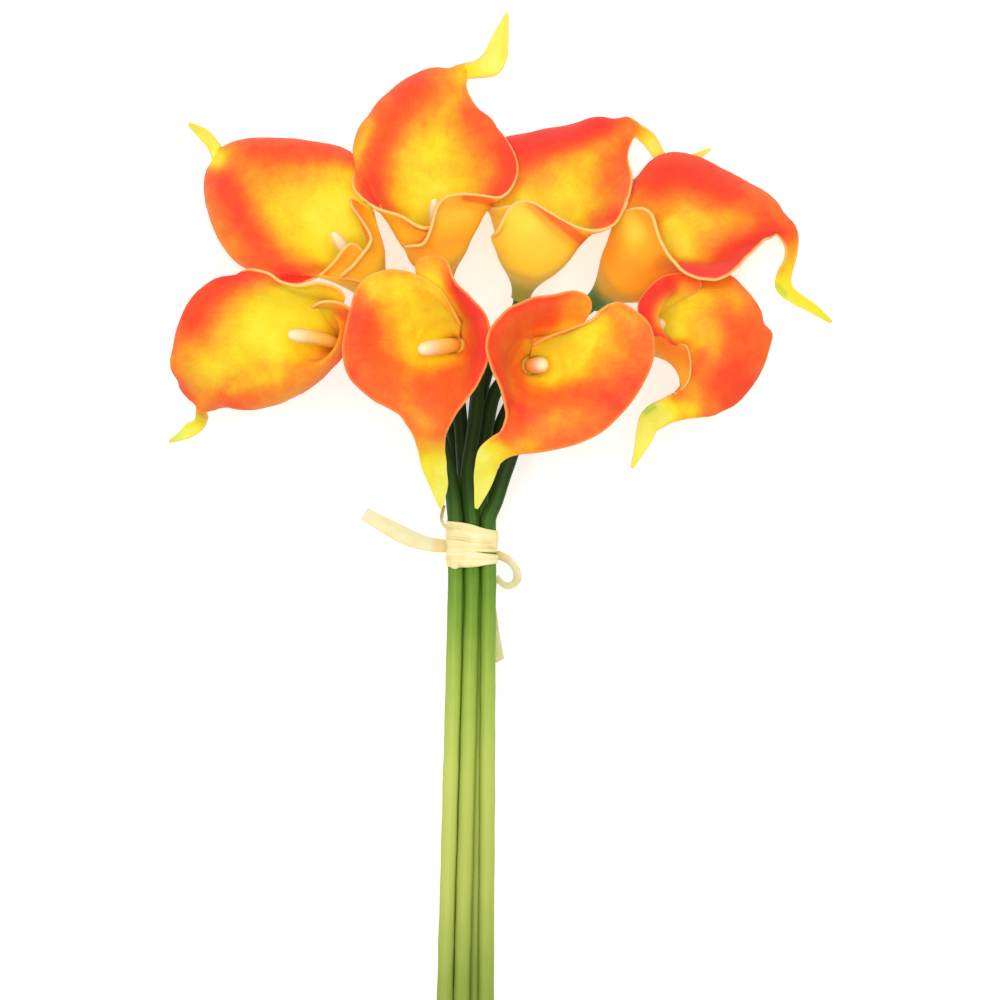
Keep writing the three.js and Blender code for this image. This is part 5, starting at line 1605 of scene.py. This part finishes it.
def dry_raffia(settings):
    """Split palm leaf dried to a papery ribbon: matt, cream, with fibres 0.4 mm wide."""
    material, tree = new_material("dried raffia ribbon")
    keys = ("across", "along", "seed", "fold")
    across, along, seed, fold = (
        add_node(tree, "ShaderNodeAttribute", attribute_name=key).outputs["Fac"] for key in keys
    )
    fibre_x = add_node(
        tree, "ShaderNodeMath", {0: across, 1: 1 / 0.4}, operation="MULTIPLY"
    ).outputs[0]
    fibre_y = add_node(
        tree, "ShaderNodeMath", {0: along, 1: 1 / 16}, operation="MULTIPLY"
    ).outputs[0]
    fibre_at = add_node(
        tree, "ShaderNodeCombineXYZ", {"X": fibre_x, "Y": fibre_y, "Z": seed}
    ).outputs[0]
    fibres = add_node(
        tree, "ShaderNodeTexNoise", {"Vector": fibre_at, "Scale": 1, "Detail": 4, "Roughness": 0.6}
    ).outputs["Fac"]
    place = add_node(tree, "ShaderNodeTexCoord").outputs["Object"]
    cloud = add_node(
        tree, "ShaderNodeTexNoise", {"Vector": place, "Scale": 1000 / 7, "Detail": 3}
    ).outputs["Fac"]
    faint = add_node(tree, "ShaderNodeMath", {0: fibres, 1: 0.5}, operation="MULTIPLY").outputs[0]
    clouded = add_node(
        tree, "ShaderNodeMath", {0: cloud, 1: 0.7, 2: faint}, operation="MULTIPLY_ADD"
    ).outputs[0]
    # Painted shade: fold valleys and the edges of the turns are coloured darker
    folded = add_node(
        tree, "ShaderNodeMath", {0: fold, 1: 0.06, 2: clouded}, operation="MULTIPLY_ADD"
    ).outputs[0]
    # Loose ends are paler than the turns
    loose = add_node(
        tree, "ShaderNodeMath", {0: seed, 1: LOOSE_SEED - 0.5}, operation="GREATER_THAN"
    ).outputs[0]
    blend = add_node(
        tree, "ShaderNodeMath", {0: loose, 1: 0.22, 2: folded}, operation="MULTIPLY_ADD"
    ).outputs[0]
    dried = add_node(tree, "ShaderNodeValToRGB", {"Fac": blend}, [
        (0.4, settings.shade_colour), (0.52, "#f4e4a2"), (0.64, settings.colour),
        (0.85, "#fef9d4"),
    ]).outputs["Color"]
    # A loose end is golden for its first 8 mm beside the turns: painted shade of the wrap
    wrap_shade = add_node(
        tree, "ShaderNodeMapRange", {0: along, 1: 8, 2: 5, 3: 0.0, 4: 0.5},
        interpolation_type="SMOOTHSTEP",
    ).outputs[0]
    golden = add_node(
        tree, "ShaderNodeMath", {0: wrap_shade, 1: loose}, operation="MULTIPLY"
    ).outputs[0]
    colour = add_node(
        tree, "ShaderNodeMix", {0: golden, 6: dried, 7: to_linear("#f6de88")}, data_type="RGBA"
    ).outputs[2]
    bump = add_node(
        tree, "ShaderNodeBump", {"Strength": 0.8, "Distance": 0.00025, "Height": fibres}
    ).outputs[0]
    shader = add_node(tree, "ShaderNodeBsdfPrincipled", {
        "Base Color": colour, "Roughness": 0.62, "IOR": 1.5, "Specular IOR Level": 0.25,
        "Normal": bump, "Sheen Weight": 0.15,
    }).outputs["BSDF"]
    # Light from behind comes through a single loose layer
    glow = add_node(tree, "ShaderNodeBsdfTranslucent", {"Color": colour}).outputs["BSDF"]
    thin = add_node(tree, "ShaderNodeMath", {0: loose, 1: 0.3}, operation="MULTIPLY").outputs[0]
    leaf = add_node(tree, "ShaderNodeMixShader", {0: thin, 1: shader, 2: glow}).outputs["Shader"]
    add_node(tree, "ShaderNodeOutputMaterial", {"Surface": leaf})
    return material


def pale_table(settings):
    """Opal acrylic sheet on a light box: matt white and lit from below, so shadows are soft."""
    material, tree = new_material("opal acrylic table")
    place = add_node(tree, "ShaderNodeTexCoord").outputs["Object"]
    grain = add_node(
        tree, "ShaderNodeTexNoise", {"Vector": place, "Scale": 1000 / 2, "Detail": 2}
    ).outputs["Fac"]
    bump = add_node(
        tree, "ShaderNodeBump", {"Strength": 0.1, "Distance": 0.00002, "Height": grain}
    ).outputs[0]
    shader = add_node(tree, "ShaderNodeBsdfPrincipled", {
        "Base Color": settings.table_colour, "Roughness": 0.8, "IOR": 1.49,
        "Specular IOR Level": 0.2, "Normal": bump, "Emission Color": settings.table_colour,
        "Emission Strength": settings.table_glow,
    })
    add_node(tree, "ShaderNodeOutputMaterial", {"Surface": shader.outputs["BSDF"]})
    return material


def colour_setting(name, description, value):
    """A colour that the user can change, with its default as sRGB hex."""
    return bpy.props.FloatVectorProperty(
        name=name, description=description, default=to_linear(value),
        size=4, min=0, max=1, subtype="COLOR",
    )


class SpatheSettings(bpy.types.PropertyGroup):
    """Thickness, relief and colours of the foam sheets"""

    rim_thickness: bpy.props.FloatProperty(
        name="Rim thickness", description="Thickness of the foam sheet at its rim",
        default=0.0013, min=0.0006, max=0.002, unit="LENGTH", precision=4,
    )
    vein_height: bpy.props.FloatProperty(
        name="Vein height", description="Height of the moulded veins",
        default=0.000035, min=0, max=0.0002, unit="LENGTH", precision=6,
    )
    throat_colour: colour_setting("Throat", "Bare foam in the throat", "#fee028")
    flush_colour: colour_setting("Flush", "Deepest sprayed colour near the margin", "#f83e30")
    rim_colour: colour_setting("Rim", "Bare foam at the cut rim", "#fed27c")
    back_colour: colour_setting("Back", "Outside of the sheet", "#fdb42c")
    tail_colour: colour_setting("Tail", "Tail of the sheet", "#fef66a")


class SpadixSettings(bpy.types.PropertyGroup):
    """Grain and colour of the spadices"""

    grain: bpy.props.FloatProperty(
        name="Grain", description="Height of the beaded grain",
        default=0.00004, min=0, max=0.0003, unit="LENGTH", precision=6,
    )
    colour: colour_setting("Colour", "Colour of the middle of the spadix", "#ffe680")


class StemSettings(bpy.types.PropertyGroup):
    """Grooves and colours of the stems"""

    groove_depth: bpy.props.FloatProperty(
        name="Groove depth", description="Depth of the ribs along the stems",
        default=0.00005, min=0, max=0.0003, unit="LENGTH", precision=6,
    )
    low_colour: colour_setting("Cut end", "Colour near the cut end", "#9cad4c")
    # The colour above the tie is partly painted shadow of the blooms
    shadowed_high_colour: colour_setting("Above the tie", "Colour above the raffia", "#3a5e20")


class RaffiaSettings(bpy.types.PropertyGroup):
    """Thickness and colours of the raffia"""

    thickness: bpy.props.FloatProperty(
        name="Thickness", description="Thickness of the raffia ribbon",
        default=0.00036, min=0.0002, max=0.001, unit="LENGTH", precision=5,
    )
    colour: colour_setting("Colour", "Colour of the sunlit fibres", "#fcf0b0")
    shade_colour: colour_setting("Shade", "Colour between the fibres", "#dcc684")


class StageSettings(bpy.types.PropertyGroup):
    """Table and light"""

    table_colour: colour_setting("Table", "Colour of the table", "#dededd")
    table_glow: bpy.props.FloatProperty(
        name="Table glow", description="Light from below the table", default=0.75, min=0, max=1,
    )
    lamp_power: bpy.props.FloatProperty(
        name="Lamp power", description="Power of the soft lamp",
        default=46, min=0, max=200, subtype="POWER", unit="POWER",
    )
    room_light: bpy.props.FloatProperty(
        name="Room light", description="Strength of the even light of the room",
        default=0.43, min=0, max=2,
    )


class CALLAS_OT_spathes(bpy.types.Operator):
    """Build the rolled sheet and tail of each of the eight blooms"""

    bl_idname = "callas.spathes"
    bl_label = "Spathes"

    def execute(self, context):
        settings = context.scene.callas_spathe
        material = foam_petal(settings)
        for index, name in enumerate(BLOOMS):
            build_spathe(name, index * 10, settings, material)
        return {"FINISHED"}


class CALLAS_OT_spadices(bpy.types.Operator):
    """Build the finger in the throat of each bloom"""

    bl_idname = "callas.spadices"
    bl_label = "Spadices"

    def execute(self, context):
        settings = context.scene.callas_spadix
        material = foam_spadix(settings)
        for index, name in enumerate(BLOOMS):
            build_spadix(name, index, settings, material)
        return {"FINISHED"}


class CALLAS_OT_stems(bpy.types.Operator):
    """Build the eight stems from their cut ends to the necks"""

    bl_idname = "callas.stems"
    bl_label = "Stems"

    def execute(self, context):
        settings = context.scene.callas_stem
        material = coated_stem(settings)
        for index, name in enumerate(STEMS):
            build_stem(name, index, settings, material)
        return {"FINISHED"}


class CALLAS_OT_raffia(bpy.types.Operator):
    """Build the raffia turns round the stems, the tails and the loops"""

    bl_idname = "callas.raffia"
    bl_label = "Raffia"

    def execute(self, context):
        settings = context.scene.callas_raffia
        thickness = settings.thickness / MM
        material = dry_raffia(settings)
        turns = [turn_of_raffia(*row, thickness) for row in TURNS]
        turns.append(loose_ribbon(KNOT, KNOT_STEPS, KNOT_CUP, thickness, KNOT_SEED))
        add_piece("raffia_wrap", *join(turns), material, ["raffia_wrap"], "raffia")
        for seed, (name, rows) in enumerate(RIBBONS.items(), LOOSE_SEED):
            ribbon = loose_ribbon(rows, LOOSE_STEPS, LOOSE_CUP, thickness, seed)
            add_piece(name, *ribbon, material, [name], "raffia")
        return {"FINISHED"}


class CALLAS_OT_stage(bpy.types.Operator):
    """Build the table, the soft light and the camera over the bunch"""

    bl_idname = "callas.stage"
    bl_label = "Stage"

    def execute(self, context):
        scene = context.scene
        settings = scene.callas_stage
        mesh = bpy.data.meshes.new("table")
        corners = [(-1, -1), (1, -1), (1, 1), (-1, 1)]
        points = [(x * TABLE_HALF, y * TABLE_HALF, -TABLE_DROP) for x, y in corners]
        mesh.from_pydata(points, [], [(0, 1, 2, 3)])
        mesh.materials.append(pale_table(settings))
        table = bpy.data.objects.new("table", mesh)
        scene.collection.objects.link(table)

        camera = bpy.data.cameras.new("camera")
        camera.sensor_width = SENSOR_WIDTH
        camera.lens = SENSOR_WIDTH * (VIEW_HEIGHT - VIEW_PLANE) / PHOTO_WIDTH
        camera.clip_end = CAMERA_REACH
        eye = bpy.data.objects.new("camera", camera)
        eye.location = (-CENTRE_X * MM, -CENTRE_Y * MM, VIEW_HEIGHT * MM)
        scene.collection.objects.link(eye)
        scene.camera = eye

        lamp = bpy.data.lights.new("soft_lamp", "AREA")
        lamp.shape = "DISK"
        lamp.size = LAMP_WIDTH
        lamp.energy = settings.lamp_power
        light = bpy.data.objects.new("soft_lamp", lamp)
        light.location = LAMP_PLACE
        light.rotation_euler = (-light.location).to_track_quat("-Z", "Y").to_euler()
        light.visible_camera = False
        scene.collection.objects.link(light)

        world = bpy.data.worlds.new("pale_room")
        world.use_nodes = True
        background = world.node_tree.nodes["Background"].inputs
        background["Color"].default_value = to_linear("#ffffff")
        background["Strength"].default_value = settings.room_light
        scene.world = world
        scene.view_settings.view_transform = "Standard"
        return {"FINISHED"}


class CALLAS_PT_panel(bpy.types.Panel):
    """Lists the pieces of the bunch and the settings of each"""

    bl_idname = "CALLAS_PT_panel"
    bl_label = "Calla Lily Bunch"
    bl_space_type = "VIEW_3D"
    bl_region_type = "UI"
    bl_category = "Callas"

    def draw(self, context):
        for operator, group in zip(OPERATORS, GROUPS):
            box = self.layout.box()
            for key in GROUPS[group].__annotations__:
                box.prop(getattr(context.scene, group), key)
            box.operator(operator.bl_idname)


GROUPS = {
    "callas_spathe": SpatheSettings,
    "callas_spadix": SpadixSettings,
    "callas_stem": StemSettings,
    "callas_raffia": RaffiaSettings,
    "callas_stage": StageSettings,
}
OPERATORS = (
    CALLAS_OT_spathes, CALLAS_OT_spadices, CALLAS_OT_stems, CALLAS_OT_raffia, CALLAS_OT_stage,
)


def register():
    """Adds the settings, operators and panel."""
    for kind in (*GROUPS.values(), *OPERATORS, CALLAS_PT_panel):
        bpy.utils.register_class(kind)
    for name, kind in GROUPS.items():
        setattr(bpy.types.Scene, name, bpy.props.PointerProperty(type=kind))


def unregister():
    """Takes them away again."""
    for name in GROUPS:
        delattr(bpy.types.Scene, name)
    for kind in (CALLAS_PT_panel, *reversed(OPERATORS), *GROUPS.values()):
        bpy.utils.unregister_class(kind)


def main():
    """Builds the pieces and the stage in order."""
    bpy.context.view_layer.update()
    register()
    bpy.ops.callas.spathes()
    bpy.ops.callas.spadices()
    bpy.ops.callas.stems()
    bpy.ops.callas.raffia()
    bpy.ops.callas.stage()


if __name__ == "__main__":
    main()
